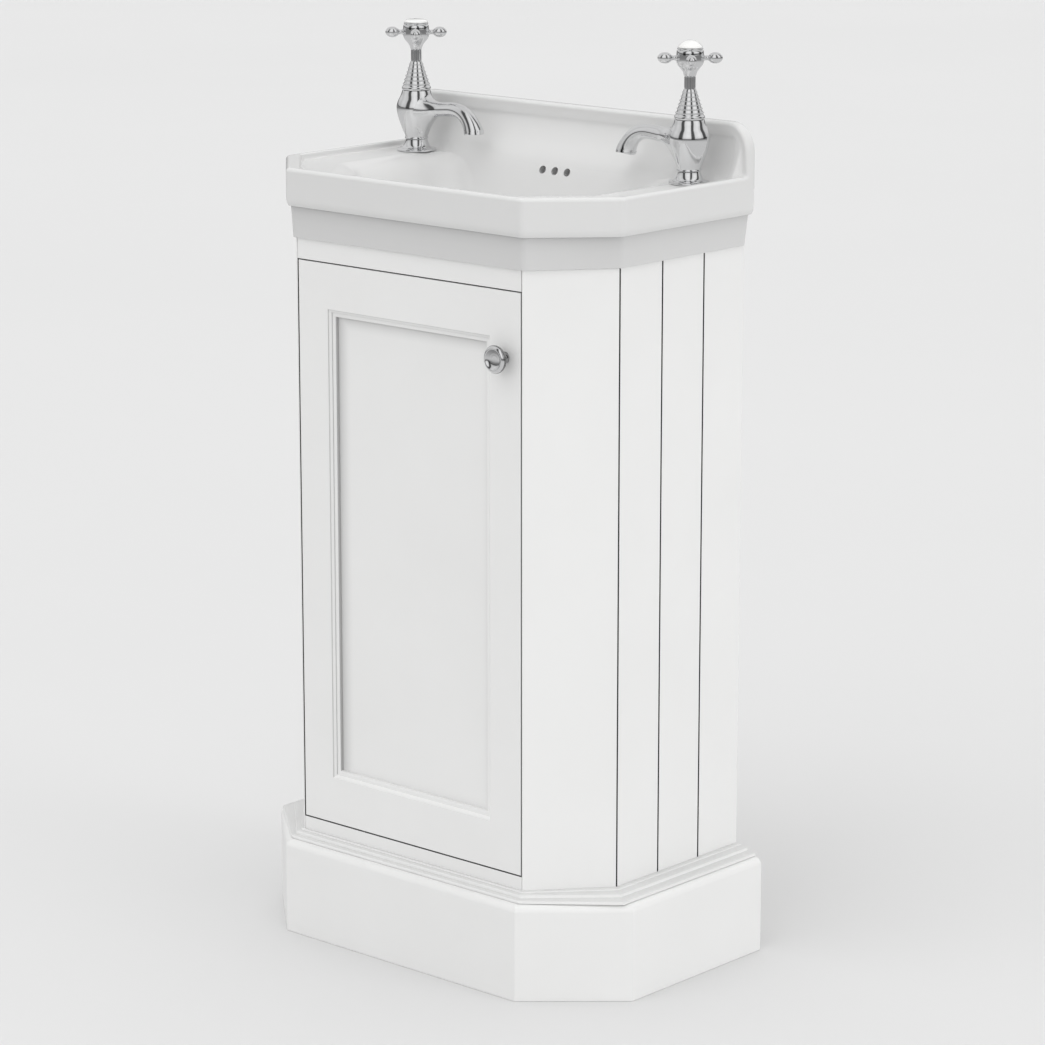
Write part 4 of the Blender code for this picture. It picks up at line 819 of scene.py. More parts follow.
def planRun(plan, startDepth, height, sideRound=basinLook["planRound"], frontRound=basinLook["planRound"]):
    # the right side, shoulder, cut corner and front of a ring, as x, depth from the back and height
    half, depth, cutX, cutY = plan
    start, shoulder, nose, end = (np.array(spot) for spot in (
        (half, startDepth), (half, depth - cutY), (half - cutX, depth), (0, depth)))
    along = (nose - shoulder) / np.linalg.norm(nose - shoulder)
    shoulderBend = sideRound * math.tan(math.acos(min(1, along[1])) / 2)
    noseBend = frontRound * math.tan(math.acos(min(1, -along[0])) / 2)
    sideEnd, frontStart = shoulder - (0, shoulderBend), nose - (noseBend, 0)
    cutStart, cutEnd = shoulder + along * shoulderBend, nose - along * noseBend
    points = [*np.linspace(start, sideEnd, ringCounts["side"] + 1)[:-1],
              *arcBetween(sideEnd, shoulder, cutStart, ringCounts["shoulder"]),
              *np.linspace(cutStart, cutEnd, ringCounts["chamfer"] + 1)[1:-1],
              *arcBetween(cutEnd, nose, frontStart, ringCounts["nose"]),
              *np.linspace(frontStart, end, ringCounts["front"] + 1)[1:]]
    return [(x, depth, height) for x, depth in points]


def backWall(half, top, foot, corner, flare, sink=0.0):
    # the raised back's part of a ring: across the top, round the corner and down the end to the foot;
    # flare leads from the plain face, sunk by an amount, to the one with a border
    (wide, tall), counts = corner, ringCounts
    points = [((half - wide) * step / counts["back"], top) for step in range(counts["back"])]
    for step in range(counts["arc"]):
        angle = math.radians(90 * step / counts["arc"])
        points.append((half - wide + wide * math.sin(angle), top - tall * (1 - math.cos(angle))))
    points += [(half, foot + (top - tall - foot) * (1 - step / counts["end"]) ** 2)
               for step in range(counts["end"])]
    wall = []
    for x, z in points:
        plain = standOut(z - foot, sink)
        wall.append((x, plain + (faceAt(z, x) - plain) * flare, z))
    return wall


def edgeWall(inset, foot, flare, sink=0.0):
    # backWall drawn in from the raised back's outline by an inset
    look = basinLook
    corner = (look["cornerWide"] - inset, look["cornerTall"] - inset)
    return backWall(plans["band"][0] - inset, look["upstandTop"] - inset, foot, corner, flare, sink)


def flatWall(half, height, depth):
    # the back part of a ring that lies flat: a straight run and a square corner
    count = ringCounts["back"] + ringCounts["arc"] + ringCounts["end"]
    return [(half * step / count, depth, height) for step in range(count)]


def mixRing(first, second, share):
    return [mixPlan(*pair, share) for pair in zip(first, second)]


def outerRings():
    # up the outer walls and round the rim's edge; the back face runs up to the raised back's outline
    look, band = basinLook, plans["band"]
    thick, backAt, backRound = look["upstandThick"], look["backGap"], look["backRound"]
    outline = edgeWall(backRound * 0.7, rimHeight - thick + backAt, 0, thick - backAt)
    rings = []
    for low, high, stops in outerWall:
        for height, share in stops:
            plan = mixPlan(plans[low], plans[high], share)
            flat = flatWall(plan[0] - backRound * 0.7, height, backAt)
            full = [(x * plan[0] / band[0], backAt, z) for x, depth, z in outline]
            wall = mixRing(flat, full, (height - look["foot"]) / (rimHeight - thick - look["foot"]))
            rings.append(wall + planRun(plan, backAt + backRound * 0.8, height))
    # inset and sink of the rim's edge, from the wall forwards
    edges = [(backRound * 0.25, thick - backAt - backRound * 0.3), (0, thick - backAt - backRound),
             (0, thick * 0.62), (0, thick * 0.45)]
    for inset, sink in edges:
        start = max(standOut(0, sink), backAt + backRound)
        rings.append(edgeWall(inset, rimHeight - sink, 0, sink) + planRun(band, start, rimHeight - sink))
    for inset, sink in quarterRound(look["arris"], look["arrisSteps"]):
        run = planRun(insetPlan(band, inset), standOut(0, sink), rimHeight - sink)
        rings.append(edgeWall(inset, rimHeight - sink, 0, sink) + run)
    return rings


def lipPlan(inset):
    # the lip is wider across the cut corners
    half, depth, cutX, cutY = insetPlan(plans["band"], inset)
    return half, depth, cutX + basinLook["lipCut"][0], cutY + basinLook["lipCut"][1]


def rimRings():
    # the rim's lip, over which the raised back's face begins to flare
    rings = []
    for inset, height in rimProfile:
        flare, plain = ease(*basinLook["flare"], inset), standOut(0)
        start = plain + (curveAt(endProfile, height) - plain) * flare
        rings.append(edgeWall(inset, height, flare) + planRun(lipPlan(inset), start, height))
    return rings


def deckRings():
    # the deck and the raised back's face, which flows into the back of the bowl
    look = basinLook
    top, least, backRound = look["upstandTop"], look["cornerLeast"], look["mouthBackRound"]
    rimInset, rimFoot = rimProfile[-1]
    backCount, count = ringCounts["back"], ringCounts["arc"] + ringCounts["end"]
    rings = []
    for share in deckShares:
        plan = mixPlan(lipPlan(rimInset), plans["mouth"], share)
        half, height = plan[0], deckHeight + (rimFoot - deckHeight) * (1 - share)
        wallTop = top - rimInset + (height - top + rimInset) * share
        wide, tall = (max(look[size] - rimInset * (1 + share * 3), least)
                      for size in ("cornerWide", "cornerTall"))
        turnIn = ease(look["turnIn"], 1, share)
        mouthBack = wallDepth(height, half - backRound)
        ring = []
        wall = backWall(half, wallTop, height, (wide, min(tall, wallTop - height)), 1)
        for step, (x, depth, z) in enumerate(wall):
            if step < backCount:
                across, goal = (half - backRound) * step / backCount, z - height
            else:
                angle = math.radians(90 * (step - backCount) / count)
                across = half - backRound * (1 - math.sin(angle))
                goal = wallDepth(height, across) - mouthBack - backRound * (1 - math.cos(angle))
            # points travel down the raised back and out over the deck, where their rise is negative
            x += (across - x) * turnIn
            rise = (z - height) * (1 - turnIn) + goal * turnIn
            depth = faceAt(height + rise, x) if rise >= 0 else wallDepth(height, x) - rise
            ring.append((x, depth, height + max(rise, 0)))
        start = wallDepth(height, half) * (1 - turnIn) + (mouthBack + backRound) * turnIn
        rounds = mixPlan((look["planRound"],) * 2, (look["mouthSideRound"], look["mouthFrontRound"]), share)
        rings.append(ring + planRun(plan, start, height, *rounds))
    return rings


def bowlRing(level, half, back, front, cuts, share, grow=0.0):
    # share rounds the corners further, and grow makes it the outside of the shell
    look, mouth = basinLook, plans["mouth"]
    half, back, front, cutX, cutY = half + grow, back - grow, front + grow, mouth[2] * cuts, mouth[3] * cuts
    limit = bowlLook["cornerLimit"]
    corner = min(look["mouthBackRound"] * (1 + share) + grow, (front - back - grow * 2) * limit,
                 max(front - cutY * bowlLook["cutLimit"] - back - grow, bowlLook["least"]))
    backCount, count = ringCounts["back"], ringCounts["arc"] + ringCounts["end"]
    wall = [((half - corner) * step / backCount, back, level) for step in range(backCount)]
    for step in range(count):
        angle = math.radians(90 * step / count)
        wall.append((half - corner * (1 - math.sin(angle)), back + corner * (1 - math.cos(angle)), level))
    rounds = [min(look[size] + share * bowlLook["bendGrowth"], cutY * limit)
              for size in ("mouthSideRound", "mouthFrontRound")]
    return wall + planRun((half, front, cutX, cutY), back + corner, level, *rounds)


def towardsHole(ring, radius, level, share=1.0):
    # draws a ring towards a circle round the waste
    centre = basinLook["wasteFromBack"]
    goals = []
    for x, depth, z in ring:
        scale = radius / math.hypot(x, depth - centre)
        goals.append((x * scale, centre + (depth - centre) * scale, level))
    return mixRing(ring, goals, share)


def bowlRings():
    # down the bowl to the waste hole, through it and up the outside of the shell
    deepest = len(bowlLevels) - 1

    def ringAt(index, height, grow, turnFrom):
        # one of the bowl's levels at a height, rounded off by how deep it lies
        level, half, back, front, cuts = bowlLevels[index]
        depth = index / deepest
        ring = bowlRing(height, half, back, front, cuts, depth * bowlLook["rounder"], grow)
        radius = (half + (front - back) / 2) / 2 + grow
        return towardsHole(ring, radius, height, ease(turnFrom, 1, depth) * bowlLook["most"])

    rings = [ringAt(index, row[0], 0, bowlLook["insideFrom"]) for index, row in enumerate(bowlLevels)]
    last = bowlRing(*bowlLevels[-1], bowlLook["rounder"])
    rings += [towardsHole(last, radius, level) for radius, level in holeProfile]
    shell = basinLook["shell"]
    for index in range(deepest, 0, -2):
        level = bowlLevels[index][0]
        if level - shell * 0.9 <= basinLook["ceiling"]:
            height = level - shell * (1 + index / deepest) / 2
            rings.append(ringAt(index, height, shell, bowlLook["outsideFrom"]))
    return rings


def underRings():
    # under the deck and down inside the apron
    look = basinLook
    ceiling, apron, apronRound = look["ceiling"], look["apron"], look["apronRound"]
    plan = insetPlan(plans["foot"], apron)
    shellTop = bowlRing(ceiling, *shellPlan, 0.05, look["shell"])
    roof = flatWall(plan[0], ceiling, apron) + planRun(plan, apron, ceiling, apronRound, apronRound)
    rings = [shellTop, mixRing(shellTop, roof, 0.5), mixRing(shellTop, roof, 0.96)]
    levels = [(ceiling - look["apronDrop"], 0), (look["apronMiddle"], 0), (look["foot"] + look["apronRise"], 0),
              (look["foot"], look["apronEase"])]
    for height, grow in levels:
        plan = insetPlan(plans["foot"], apron - grow)
        rings.append(flatWall(plan[0], height, apron - grow)
                     + planRun(plan, apron - grow, height, apronRound, apronRound))
    return rings


overflowLook = {"radius": 0.0048, "deep": 0.009, "overrun": 0.018, "lean": 15, "pitch": 0.0185,
                "fromBack": 0.0479, "height": 0.8864, "sideTurn": 0.25, "sideShares": (0.9, 1.01),
                "endReach": 0.0004, "spread": 1.5}
# where the foot's painted shade under the step ends, its levels, and how far from the middle and from the wall
# it begins
footLook = {"high": 0.8573, "lowShade": 0.44, "highShade": 1.00, "side": 0.165, "front": 0.28,
            "sideShare": 0.75}


def glazeShade(face, spot):
    # painted shade: greyer up the foot towards the step over it, and dark in the overflow holes
    look, foot, middle = overflowLook, footLook, face.center
    outside = face.normal.y < 0.5 and (abs(middle.x) > foot["side"] or backPlane - middle.y > foot["front"])
    if outside and basinLook["foot"] < middle.z < foot["high"]:
        rise = (spot.z - basinLook["foot"]) / (foot["high"] - basinLook["foot"])
        level = foot["lowShade"] + (foot["highShade"] - foot["lowShade"]) * rise ** 3
        return level * (foot["sideShare"] + (1 - foot["sideShare"]) * max(-face.normal.y, 0))
    across = middle.x - round(middle.x / look["pitch"]) * look["pitch"]
    away = Vector((across, middle.y - backPlane + look["fromBack"], middle.z - look["height"]))
    axis = overflowLean() @ Vector((0, -1, 0))
    along = away.dot(axis)
    aside = (away - axis * along).length
    low, high = (look["radius"] * share for share in look["sideShares"])
    wall = abs(face.normal.dot(axis)) < look["sideTurn"] and low < aside < high
    end = aside < look["radius"] and abs(along + look["deep"]) < look["endReach"]
    return float((wall or end) and abs(middle.x) < look["pitch"] * look["spread"])


def overflowLean():
    return Matrix.Rotation(math.radians(-overflowLook["lean"]), 4, "X")


def basin():
    # mirrored halves of one closed shell, with the overflow and tap holes cut through it
    rings = outerRings() + rimRings() + deckRings() + bowlRings() + underRings()
    shape = bmesh.new()
    for mirror in (1, -1):
        halves = [[(x * mirror, backPlane - depth, z) for x, depth, z in ring] for ring in rings]
        ringFaces(shape, halves, closed=False, flip=mirror < 0)
    mesh = finished(shape, 45)
    look, tap = overflowLook, tapPlace
    overflow = rod(look["radius"], -look["deep"], look["overrun"], axis="Y")
    overflow.transform(overflowLean())
    first = (-look["pitch"], backPlane - look["fromBack"], look["height"])
    mesh = subtract(mesh, repeated(overflow, whiteGlaze, 3, first, (look["pitch"], 0, 0)))
    hole = rod(tap["hole"], *tap["holeSpan"], steps=48)
    first = (-tap["x"], backPlane - tap["fromBack"], deckHeight)
    mesh = subtract(mesh, repeated(hole, whiteGlaze, 2, first, (2 * tap["x"], 0, 0)))
    scenePiece("washBasin", marked(resharpen(mesh, 38), glazeShade), whiteGlaze, ["basin"])
    print("basin cast")


basin()

wasteLook = {"flange": 0.032, "tube": 0.020, "bore": 0.0165, "length": 0.072, "plug": 0.027, "stem": 0.004,
             "nut": 0.0275, "nutDrops": (0.0136, 0.0236), "clear": 0.0003}
wastePlace = (0, backPlane - basinLook["wasteFromBack"], basinLook["floor"])
# the waste tube's thread: first level, pitch, depth and number of turns
wasteThread = (-0.020, 0.0024, 0.0009, 20)


def waste():
    # flanged body with its bridge, lifting plug and seal; its nut is made with the taps
    look = wasteLook
    tube, bore, plug, stem = look["tube"], look["bore"], look["plug"], look["stem"]
    shape = [(bore, 0.0018), (bore + 0.002, 0.0026), (plug + 0.0012, 0.0031), (0.0300, 0.0033),
             (0.0312, 0.0030), (0.0319, 0.0020), (look["flange"], 0.0008), (0.0318, 0.0003), (tube, 0.0003)]
    shape += threadRows(tube, *wasteThread)
    shape += [(tube, -0.0690), (tube - 0.0012, -look["length"]), (bore, -look["length"])]
    spoke = slabMesh((0.0068, -0.0022, -0.036), (bore + 0.0018, 0.0022, -0.030), 0.0004)
    spokes = repeated(spoke, chromePlate, 4, wastePlace, turnEach=90)
    boss = [(0.0043, -0.030), (0.0070, -0.030), (0.0075, -0.0305), (0.0075, -0.0355), (0.0070, -0.036),
            (0.0043, -0.036)]
    flange = turned(shape, wastePlace, steps=72, sharpAngle=35)
    mesh = joined(35, flange, spokes, turned(boss, wastePlace, steps=40))
    scenePiece("wasteBody", mesh, chromePlate, ["waste_body"])
    shape = [(0, 0.0101), (0.008, 0.0099), (0.015, 0.0093), (0.021, 0.0083), (0.0252, 0.0074),
             (0.0266, 0.0068), (plug, 0.0060), (0.0268, 0.0050), (0.0256, 0.0040), (0.0250, 0.0036),
             (stem, 0.0036), (stem, -0.0432), (0.0032, -0.0440), (0, -0.0440)]
    lifting = turned(shape, wastePlace, steps=72, sharpAngle=50)
    scenePiece("wastePlug", lifting, chromePlate, ["waste_plug"], "plug")
    shape = [(0.0203, -0.0103), (0.0268, -0.0103), (0.0275, -0.0109), (0.0275, -0.0127), (0.0268, -0.0133),
             (0.0203, -0.0133)]
    scenePiece("wasteSeal", turned(shape, wastePlace), blackRubber, ["waste_seal"])
    print("waste ready")


waste()

tapLook = {"bore": 0.0062, "tail": 0.0103, "tailFoot": 0.841, "shroudBore": 0.0047, "ribs": 6,
           "ribSize": (0.0011, 0.0010), "firstRib": (0.0147, 0.9714), "lastRib": (0.0079, 0.9940),
           "reeds": 12, "reedsAt": 0.0049, "armHeight": 1.0316, "nut": 0.0165, "nutSpan": (0.8807, 0.8737),
           "clear": 0.0003}
# the tail's thread: first level, pitch, depth and number of turns
tapThread = (0.8850, 0.0018, 0.0007, 22)
# radius and height of the casting, from its shoulder down to its foot
bodyCurve = [(0.0166, 0.9636), (0.0171, 0.9620), (0.0180, 0.9590), (0.0193, 0.9560), (0.0213, 0.9520),
             (0.0227, 0.9480), (0.0233, 0.9445), (0.0231, 0.9405), (0.0222, 0.9355), (0.0206, 0.9295),
             (0.0186, 0.9235), (0.0165, 0.9180), (0.0147, 0.9135), (0.0134, 0.9105)]
footCurve = [(0.0132, 0.9096), (0.0138, 0.9090), (0.0139, 0.9080), (0.0133, 0.9073), (0.0129, 0.9068),
             (0.0130, 0.9055), (0.0136, 0.9030), (0.0146, 0.9005), (0.0159, 0.8985), (0.0172, 0.8974),
             (0.0183, 0.8970), (0.0188, 0.8968), (0.0189, 0.8964), (0.0200, 0.8963), (0.0220, 0.8959),
             (0.0228, 0.8954), (0.0230, 0.8946), (0.0229, 0.8938), (0.0225, 0.8934)]
# the spout's centre line and radius: reach inwards from the tap's axis, height, radius
spoutCurve = [(0.0400, 0.9440, 0.0084), (0.0490, 0.9449, 0.0083), (0.0580, 0.9455, 0.0083),
              (0.0660, 0.9448, 0.0084), (0.0730, 0.9426, 0.0087), (0.0792, 0.9388, 0.0091),
              (0.0843, 0.9338, 0.0097), (0.0881, 0.9284, 0.0105), (0.0903, 0.9238, 0.0113),
              (0.0914, 0.9208, 0.0118)]
rootLook = {"middle": 0.9375, "tall": 0.0222, "wide": 0.0207, "steps": 14, "rimPull": 0.020, "tubePull": 0.022,
            "lowPull": 0.009, "inside": 0.0014, "insideShares": (0.35, 0.8, 1.0), "overlap": 0.00012,
            "slopeStep": 0.0008, "lean": 0.05, "sides": 56}
# radius and drop of the spout's mouth, from its outer edge into its bore
mouthProfile = [(0.0120, 0.0005), (0.0117, 0.0008), (0.0103, 0.0008), (0.0099, 0.0005), (0.0098, -0.0002),
                (0.0094, -0.0062), (0.0060, -0.0072)]
# radius and height of the other turned shapes
shroudProfile = [(0.0061, 0.9980), (0.0065, 0.9977), (0.0067, 0.9972), (0.0078, 0.9936), (0.0098, 0.9865),
                 (0.0122, 0.9790), (0.0140, 0.9734), (0.0153, 0.9693), (0.0160, 0.9685), (0.0167, 0.9680),
                 (0.0170, 0.9670), (0.0170, 0.9662), (0.0168, 0.9652), (0.0163, 0.9646), (0.0156, 0.9645)]
stemProfile = [(0, 1.0206), (0.0038, 1.0206), (0.0042, 1.0202), (0.0042, 1.0118), (0.0062, 1.0118),
               (0.0063, 1.0115), (0.0060, 1.0112), (0.0054, 1.0110), (0.0054, 0.9989), (0.0060, 0.9987),
               (0.0062, 0.9985), (0.0062, 0.9983), (0.0042, 0.9983), (0.0042, 0.9508), (0.0036, 0.9503),
               (0, 0.9503)]
reedProfile = [(0.0009, 0.9987), (0.0014, 0.9991), (0.0014, 1.0108), (0.0009, 1.0112)]
hubProfile = [(0, 1.0424), (0.0128, 1.0424), (0.0131, 1.0427), (0.0136, 1.0428), (0.0141, 1.0425),
              (0.0143, 1.0420), (0.0142, 1.0413), (0.0138, 1.0408), (0.0138, 1.0403), (0.0144, 1.0399),
              (0.0148, 1.0391), (0.0150, 1.0372), (0.0151, 1.0345), (0.0151, 1.0300), (0.0150, 1.0280),
              (0.0146, 1.0260), (0.0138, 1.0241), (0.0125, 1.0222), (0.0109, 1.0204), (0.0094, 1.0186),
              (0.0082, 1.0168), (0.0074, 1.0150), (0.0069, 1.0134), (0.0067, 1.0124), (0.0064, 1.0121),
              (0.0047, 1.0121), (0.0047, 1.0212), (0, 1.0212)]
# reach from the tap's axis and radius of an arm
armProfile = [(0.0110, 0.0040), (0.0148, 0.0038), (0.0156, 0.0034), (0.0163, 0.0029), (0.0173, 0.0026),
              (0.0190, 0.0026), (0.0200, 0.0029), (0.0208, 0.0035), (0.0222, 0.0046), (0.0240, 0.0056),
              (0.0262, 0.0061), (0.0288, 0.0061), (0.0312, 0.0056), (0.0332, 0.0045), (0.0346, 0.0031),
              (0.0355, 0.0016), (0.0358, 0.0004)]
# the china button is flat on the left tap and domed on the right one
indexProfiles = {
    "left": [(0, 1.0467), (0.0070, 1.0466), (0.0100, 1.0463), (0.0122, 1.0456), (0.0133, 1.0447),
             (0.0137, 1.0438), (0.0136, 1.0431), (0.0126, 1.0427), (0, 1.0427)],
    "right": [(0, 1.0512), (0.0030, 1.0510), (0.0060, 1.0502), (0.0088, 1.0487), (0.0111, 1.0468),
              (0.0127, 1.0452), (0.0135, 1.0440), (0.0136, 1.0432), (0.0126, 1.0427), (0, 1.0427)],
}
smoothBody = [tuple(point) for point in smoothCurve(bodyCurve, 4)]


def bodyRadius(height):
    return curveAt(sorted((z, radius) for radius, z in smoothBody), height)


def bodySkin(y, z, inside=0.0):
    # a point of the casting's skin, found by its distance to the side and its height
    return np.array((math.sqrt(max((bodyRadius(z) - inside) ** 2 - y ** 2, 1e-8)), y, z))


def spoutRoot(across, up):
    # a line of the spout's root: start on the skin, the skin's normal, pull there, end, and pull at the end
    look, (reach, height, radius) = rootLook, spoutCurve[0]
    start = bodySkin(look["wide"] * across, look["middle"] + look["tall"] * up)
    z, step = start[2], look["slopeStep"]
    slope = (bodyRadius(z + step) - bodyRadius(z - step)) / (2 * step)
    normal = np.array((start[0] / bodyRadius(z), start[1] / bodyRadius(z), -slope))
    normal /= np.linalg.norm(normal)
    end = np.array((reach, radius * across, height + radius * up))
    tangent = end - start - normal * (end - start).dot(normal)
    low = (1 - up) / 2 * look["lowPull"]
    pull = tangent / np.linalg.norm(tangent) * (look["rimPull"] + low / 2)
    return start, normal, pull, end, np.array((look["tubePull"] + low, 0, 0))


def spoutRing(reach, height, radius, along):
    # a circle square to the spout's line
    x, z = along / np.linalg.norm(along)
    return [(reach - z * lift, side, height + x * lift) for side, lift in circle(radius, rootLook["sides"])]


def spoutMesh(hand, where):
    # a horn that leaves the casting tangentially, narrows to a tube, bends down and opens to its mouth
    look = rootLook
    roots = [spoutRoot(*side) for side in circle(1, look["sides"])]
    rings = [[bodySkin(start[1] * share, look["middle"] + (start[2] - look["middle"]) * share, look["inside"])
              for start, *rest in roots] for share in look["insideShares"]]
    rings.append([start - normal * look["overlap"] for start, normal, *rest in roots])
    for step in range(1, look["steps"]):
        share = step / look["steps"]
        nearEnd, away, back = 3 * share ** 2 - 2 * share ** 3, share * (1 - share) ** 2, share ** 3 - share ** 2
        rings.append([start * (1 - nearEnd) + pull * away + end * nearEnd + endPull * back
                      for start, normal, pull, end, endPull in roots])
    centres = smoothCurve(spoutCurve, 5)
    lines = [after[:2] - before[:2] for before, after in zip(centres, centres[2:])]
    lines = [np.array((1, 0))] + lines + [np.array((look["lean"], -1))]
    rings += [spoutRing(*centre, along) for centre, along in zip(centres, lines)]
    reach, height, radius = centres[-1]
    rings += [spoutRing(reach, height - drop, radius, np.array((0, -1))) for radius, drop in mouthProfile]
    placed = [[(where[0] - hand * x, where[1] + y, z) for x, y, z in ring] for ring in rings]
    return gridMesh(placed, "capped", 45)


def tapBody(hand, where):
    # the casting with its threaded tail below the deck
    bore, tail, foot = tapLook["bore"], tapLook["tail"], tapLook["tailFoot"]
    shape = [(bore, 0.9642), (0.0158, 0.9642), (0.0164, 0.9640)] + smoothBody + footCurve
    shape += [(0.0222, 0.8933), (tail, 0.8933), (tail, 0.8860)] + threadRows(tail, *tapThread)
    shape += [(tail - 0.0006, foot + 0.0005), (tail - 0.0010, foot), (bore, foot)]
    return joined(42, turned(shape, where, steps=96), spoutMesh(hand, where))


def tapShroud(where):
    # a ribbed cone over the valve: the ribs are one ring repeated up it
    look = tapLook
    hole, profile = look["shroudBore"], shroudProfile
    shape = [(hole, profile[0][1])] + profile + [(hole, profile[-1][1])]
    (radius, low), (lastRadius, high), (thick, tall) = look["firstRib"], look["lastRib"], look["ribSize"]
    rib = turned([(radius + thick * x, tall * z) for x, z in circle(1, 10)], (0, 0, 0), steps=72, sharpAngle=80)
    ribs = repeated(rib, chromePlate, look["ribs"], (where[0], where[1], low),
                    (0, 0, (high - low) / (look["ribs"] - 1)), sizes=(1, lastRadius / radius))
    return joined(40, turned(shape, where, steps=80), ribs)


def tapSpindle(where):
    # a reeded stem over the shroud, and the thin spindle that runs down into the valve
    look = tapLook
    rings = [[(look["reedsAt"] + x, y, height) for x, y in circle(radius, 8)] for radius, height in reedProfile]
    reed, count = gridMesh(rings, "capped", 80), look["reeds"]
    reeds = repeated(reed, chromePlate, count, where, turnEach=360 / count)
    return joined(40, turned(stemProfile, where, steps=48), reeds)


def tapHandle(where):
    # a tapered hub with four arms repeated round it, each with an egg-shaped end
    rings = [[(reach, y, z) for y, z in circle(radius, 24)] for reach, radius in smoothCurve(armProfile, 3)]
    arms = repeated(gridMesh(rings, "capped", 70), chromePlate, 4, (where[0], where[1], tapLook["armHeight"]),
                    firstTurn=tapPlace["turn"], turnEach=90)
    return joined(42, turned(hubProfile, where, steps=80, sharpAngle=42), arms)


def hexNut(radius, hole, top, foot, where, chamfer=0.0009, endShare=0.93):
    # a six-sided nut with chamfered corners
    rings = []
    for reach, level in ((radius * endShare, top), (radius, top - chamfer), (radius, foot + chamfer),
                         (radius * endShare, foot), (hole, foot), (hole, top)):
        ring = []
        for x, y in circle(1, 48):
            flat = radius * math.cos(math.pi / 6) / max(x * a + y * b for a, b in circle(1, 6))
            away = min(flat, reach)
            ring.append((where[0] + away * x, where[1] + away * y, level))
        rings.append(ring)
    return gridMesh(rings, sharpAngle=25)


def taps():
    look = tapLook
    for hand, side in ((-1, "left"), (1, "right")):
        where = (hand * tapPlace["x"], backPlane - tapPlace["fromBack"], 0)
        valve = "tap_" + side + "_valve"
        index = turned(indexProfiles[side], where, steps=72, sharpAngle=60)
        nut = hexNut(look["nut"], look["tail"] + look["clear"], *look["nutSpan"], where)
        for part, mesh, finish, body in (
                ("body", tapBody(hand, where), chromePlate, "unit"),
                ("shroud", tapShroud(where), chromePlate, "unit"),
                ("spindle", tapSpindle(where), chromePlate, valve),
                ("handle", tapHandle(where), chromePlate, valve),
                ("index", index, indexChina, valve),
                ("nut", nut, turnedBrass, "unit")):
            scenePiece("tap" + part.title() + side.title(), mesh, finish, ["tap_" + side + "_" + part], body)
    look = wasteLook
    top, foot = (basinLook["floor"] - drop for drop in look["nutDrops"])
    nut = hexNut(look["nut"], look["tube"] + look["clear"], top, foot, wastePlace)
    scenePiece("wasteNut", nut, turnedBrass, ["waste_nut"])
    print("taps turned")


taps()

studio = {"floorSize": 40.0, "floorTone": 0.66, "worldLevel": 0.79, "shownLevel": 0.90, "mirroredTone": 0.8,
          "overhead": (0.84, 0.95), "mirroredFloor": (3.4, 9.0, 0.64, 0.22),
          "cameraAt": (2.8568, -3.1326, 1.4889), "cameraAzimuth": 41.86, "cameraPitch": -13.22, "lens": 130.92}
# direction towards each soft light, strength, and how wide it is
softLights = {"key": ((1.00, 0.15, 0.14), 0.84, 30), "front": ((-0.10, -0.93, 0.46), 0.44, 60),
              "top": ((0.00, -0.10, 1.00), 1.14, 70)}
# what metal mirrors: level by height over the horizon, and by direction round it
heightLevels = [(0.00, 0.80), (0.47, 0.75), (0.49, 0.30), (0.50, 0.12), (0.52, 0.16), (0.545, 0.72),
                (0.58, 0.88), (0.64, 0.95), (0.70, 1.00), (0.80, 0.95), (0.88, 1.00), (1.00, 0.85)]
roundLevels = [(0.00, 0.92), (0.05, 0.80), (0.10, 0.95), (0.17, 0.85), (0.20, 0.10), (0.24, 0.12),
               (0.27, 1.05), (0.33, 1.20), (0.380, 1.15), (0.400, 0.12), (0.435, 0.12), (0.46, 1.05),
               (0.53, 1.20), (0.58, 0.95), (0.60, 0.10), (0.64, 0.12), (0.67, 0.85), (0.74, 0.95),
               (0.79, 0.95), (0.83, 0.88), (0.90, 0.86), (0.95, 0.92), (1.00, 0.92)]


def rampOf(tree, value, stops, kind):
    ramp = tree.nodes.new("ShaderNodeValToRGB")
    ramp.color_ramp.interpolation = kind
    while len(ramp.color_ramp.elements) < len(stops):
        ramp.color_ramp.elements.new(0.5)
    for element, (spot, level) in zip(ramp.color_ramp.elements, stops):
        element.position = spot
        element.color = (level, level, level, 1)
    setInputs(tree, ramp, {0: value})
    return ramp.outputs[0]


def world():
    # even light for the object, a pale background, and a studio with dark gaps for what metal mirrors
    look = studio
    sky = bpy.data.worlds.new("studioWorld")
    bpy.context.scene.world = sky
    sky.use_nodes = True
    tree = sky.node_tree
    towards = wired(tree, "ShaderNodeTexCoord", {}, "Generated")
    x, y, z = (wired(tree, "ShaderNodeSeparateXYZ", {0: towards}, axis) for axis in "XYZ")
    levels = rampOf(tree, ranged(tree, z, -1, 1), heightLevels, "LINEAR")
    bearing = ranged(tree, computed(tree, "ARCTAN2", y, x), -math.pi, math.pi)
    strips = rampOf(tree, bearing, roundLevels, "EASE")
    lifted = computed(tree, "MAXIMUM", strips, ranged(tree, z, *look["overhead"]))
    level = computed(tree, "MULTIPLY", levels, lifted)
    even, shown, mirrored = (
        wired(tree, "ShaderNodeBackground", {"Color": (tone, tone, tone, 1), "Strength": strength})
        for tone, strength in ((1, look["worldLevel"]), (1, look["shownLevel"]), (look["mirroredTone"], level)))
    glossy, seen, through = (wired(tree, "ShaderNodeLightPath", {}, "Is " + kind + " Ray")
                             for kind in ("Glossy", "Camera", "Transmission"))
    cast = wired(tree, "ShaderNodeMixShader", {0: glossy, 1: even, 2: mirrored})
    final = wired(tree, "ShaderNodeMixShader", {0: computed(tree, "MAXIMUM", seen, through), 1: cast, 2: shown})
    setInputs(tree, tree.nodes["World Output"], {"Surface": final})


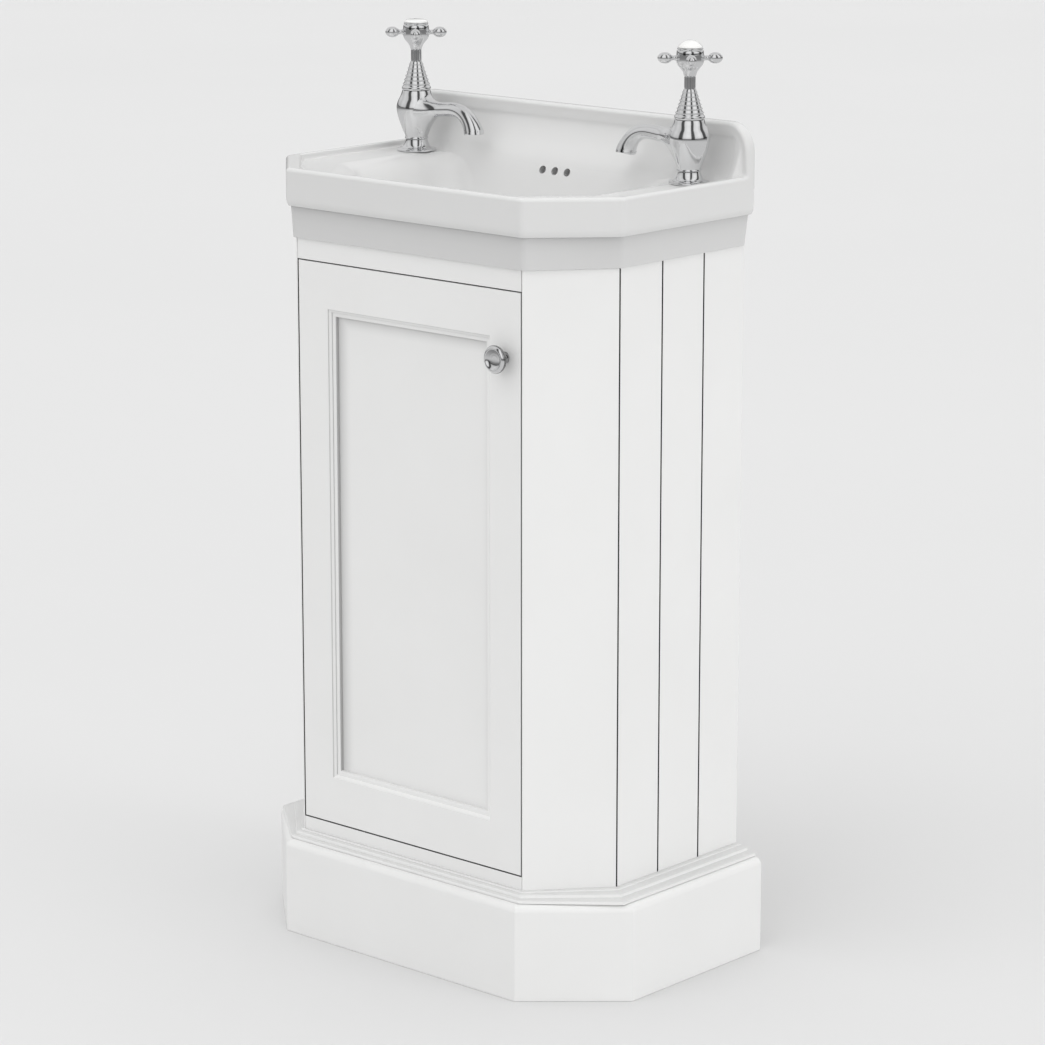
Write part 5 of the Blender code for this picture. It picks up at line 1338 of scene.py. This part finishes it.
def studioFloor():
    # paper under the unit, which metal sees grow darker with distance: a soft dark line along rounded chrome
    look = studio
    half, tone = look["floorSize"] / 2, look["floorTone"]
    mesh = bpy.data.meshes.new("studioFloor")
    corners = [(-half, -half, 0), (half, -half, 0), (half, half, 0), (-half, half, 0)]
    mesh.from_pydata(corners, [], [(0, 1, 2, 3)])
    paper = finishOf("studioPaper", {
        "colour": (tone,) * 3, "shade": (tone * 0.985,) * 3, "patchScale": 0.6, "glossScale": 2.0,
        "roughness": (0.85, 0.95), "bumps": [(60.0, 0.00005)]})
    tree = paper.node_tree
    spot = wired(tree, "ShaderNodeTexCoord", {}, "Object")
    away = wired(tree, "ShaderNodeVectorMath", {0: spot}, "Value", operation="LENGTH")
    level = ranged(tree, away, *look["mirroredFloor"])
    glow = wired(tree, "ShaderNodeEmission", {"Color": (1, 1, 1, 1), "Strength": level})
    glossy = wired(tree, "ShaderNodeLightPath", {}, "Is Glossy Ray")
    plain = tree.nodes["Principled BSDF"].outputs[0]
    setInputs(tree, tree.nodes["Material Output"], {
        "Surface": wired(tree, "ShaderNodeMixShader", {0: glossy, 1: plain, 2: glow})})
    mesh.materials.append(paper)
    helper("studioFloor", mesh)


def studioLights():
    for name, (towards, strength, width) in softLights.items():
        lamp = bpy.data.lights.new(name, "SUN")
        lamp.energy = strength
        lamp.angle = math.radians(width)
        holder = bpy.data.objects.new(name, lamp)
        holder.rotation_euler = Vector(towards).to_track_quat("Z", "Y").to_euler()
        holder.visible_glossy = False
        bpy.context.scene.collection.objects.link(holder)


def camera():
    look = studio
    lens = bpy.data.cameras.new("camera")
    lens.lens = look["lens"]
    lens.sensor_width = 36
    lens.sensor_fit = "HORIZONTAL"
    lens.clip_end = 100
    holder = bpy.data.objects.new("camera", lens)
    holder.location = look["cameraAt"]
    holder.rotation_euler = (math.radians(90 + look["cameraPitch"]), 0, math.radians(look["cameraAzimuth"]))
    bpy.context.scene.collection.objects.link(holder)
    bpy.context.scene.camera = holder


world()
studioFloor()
studioLights()
camera()
bpy.context.scene.view_settings.view_transform = "Standard"
print("studio lit")
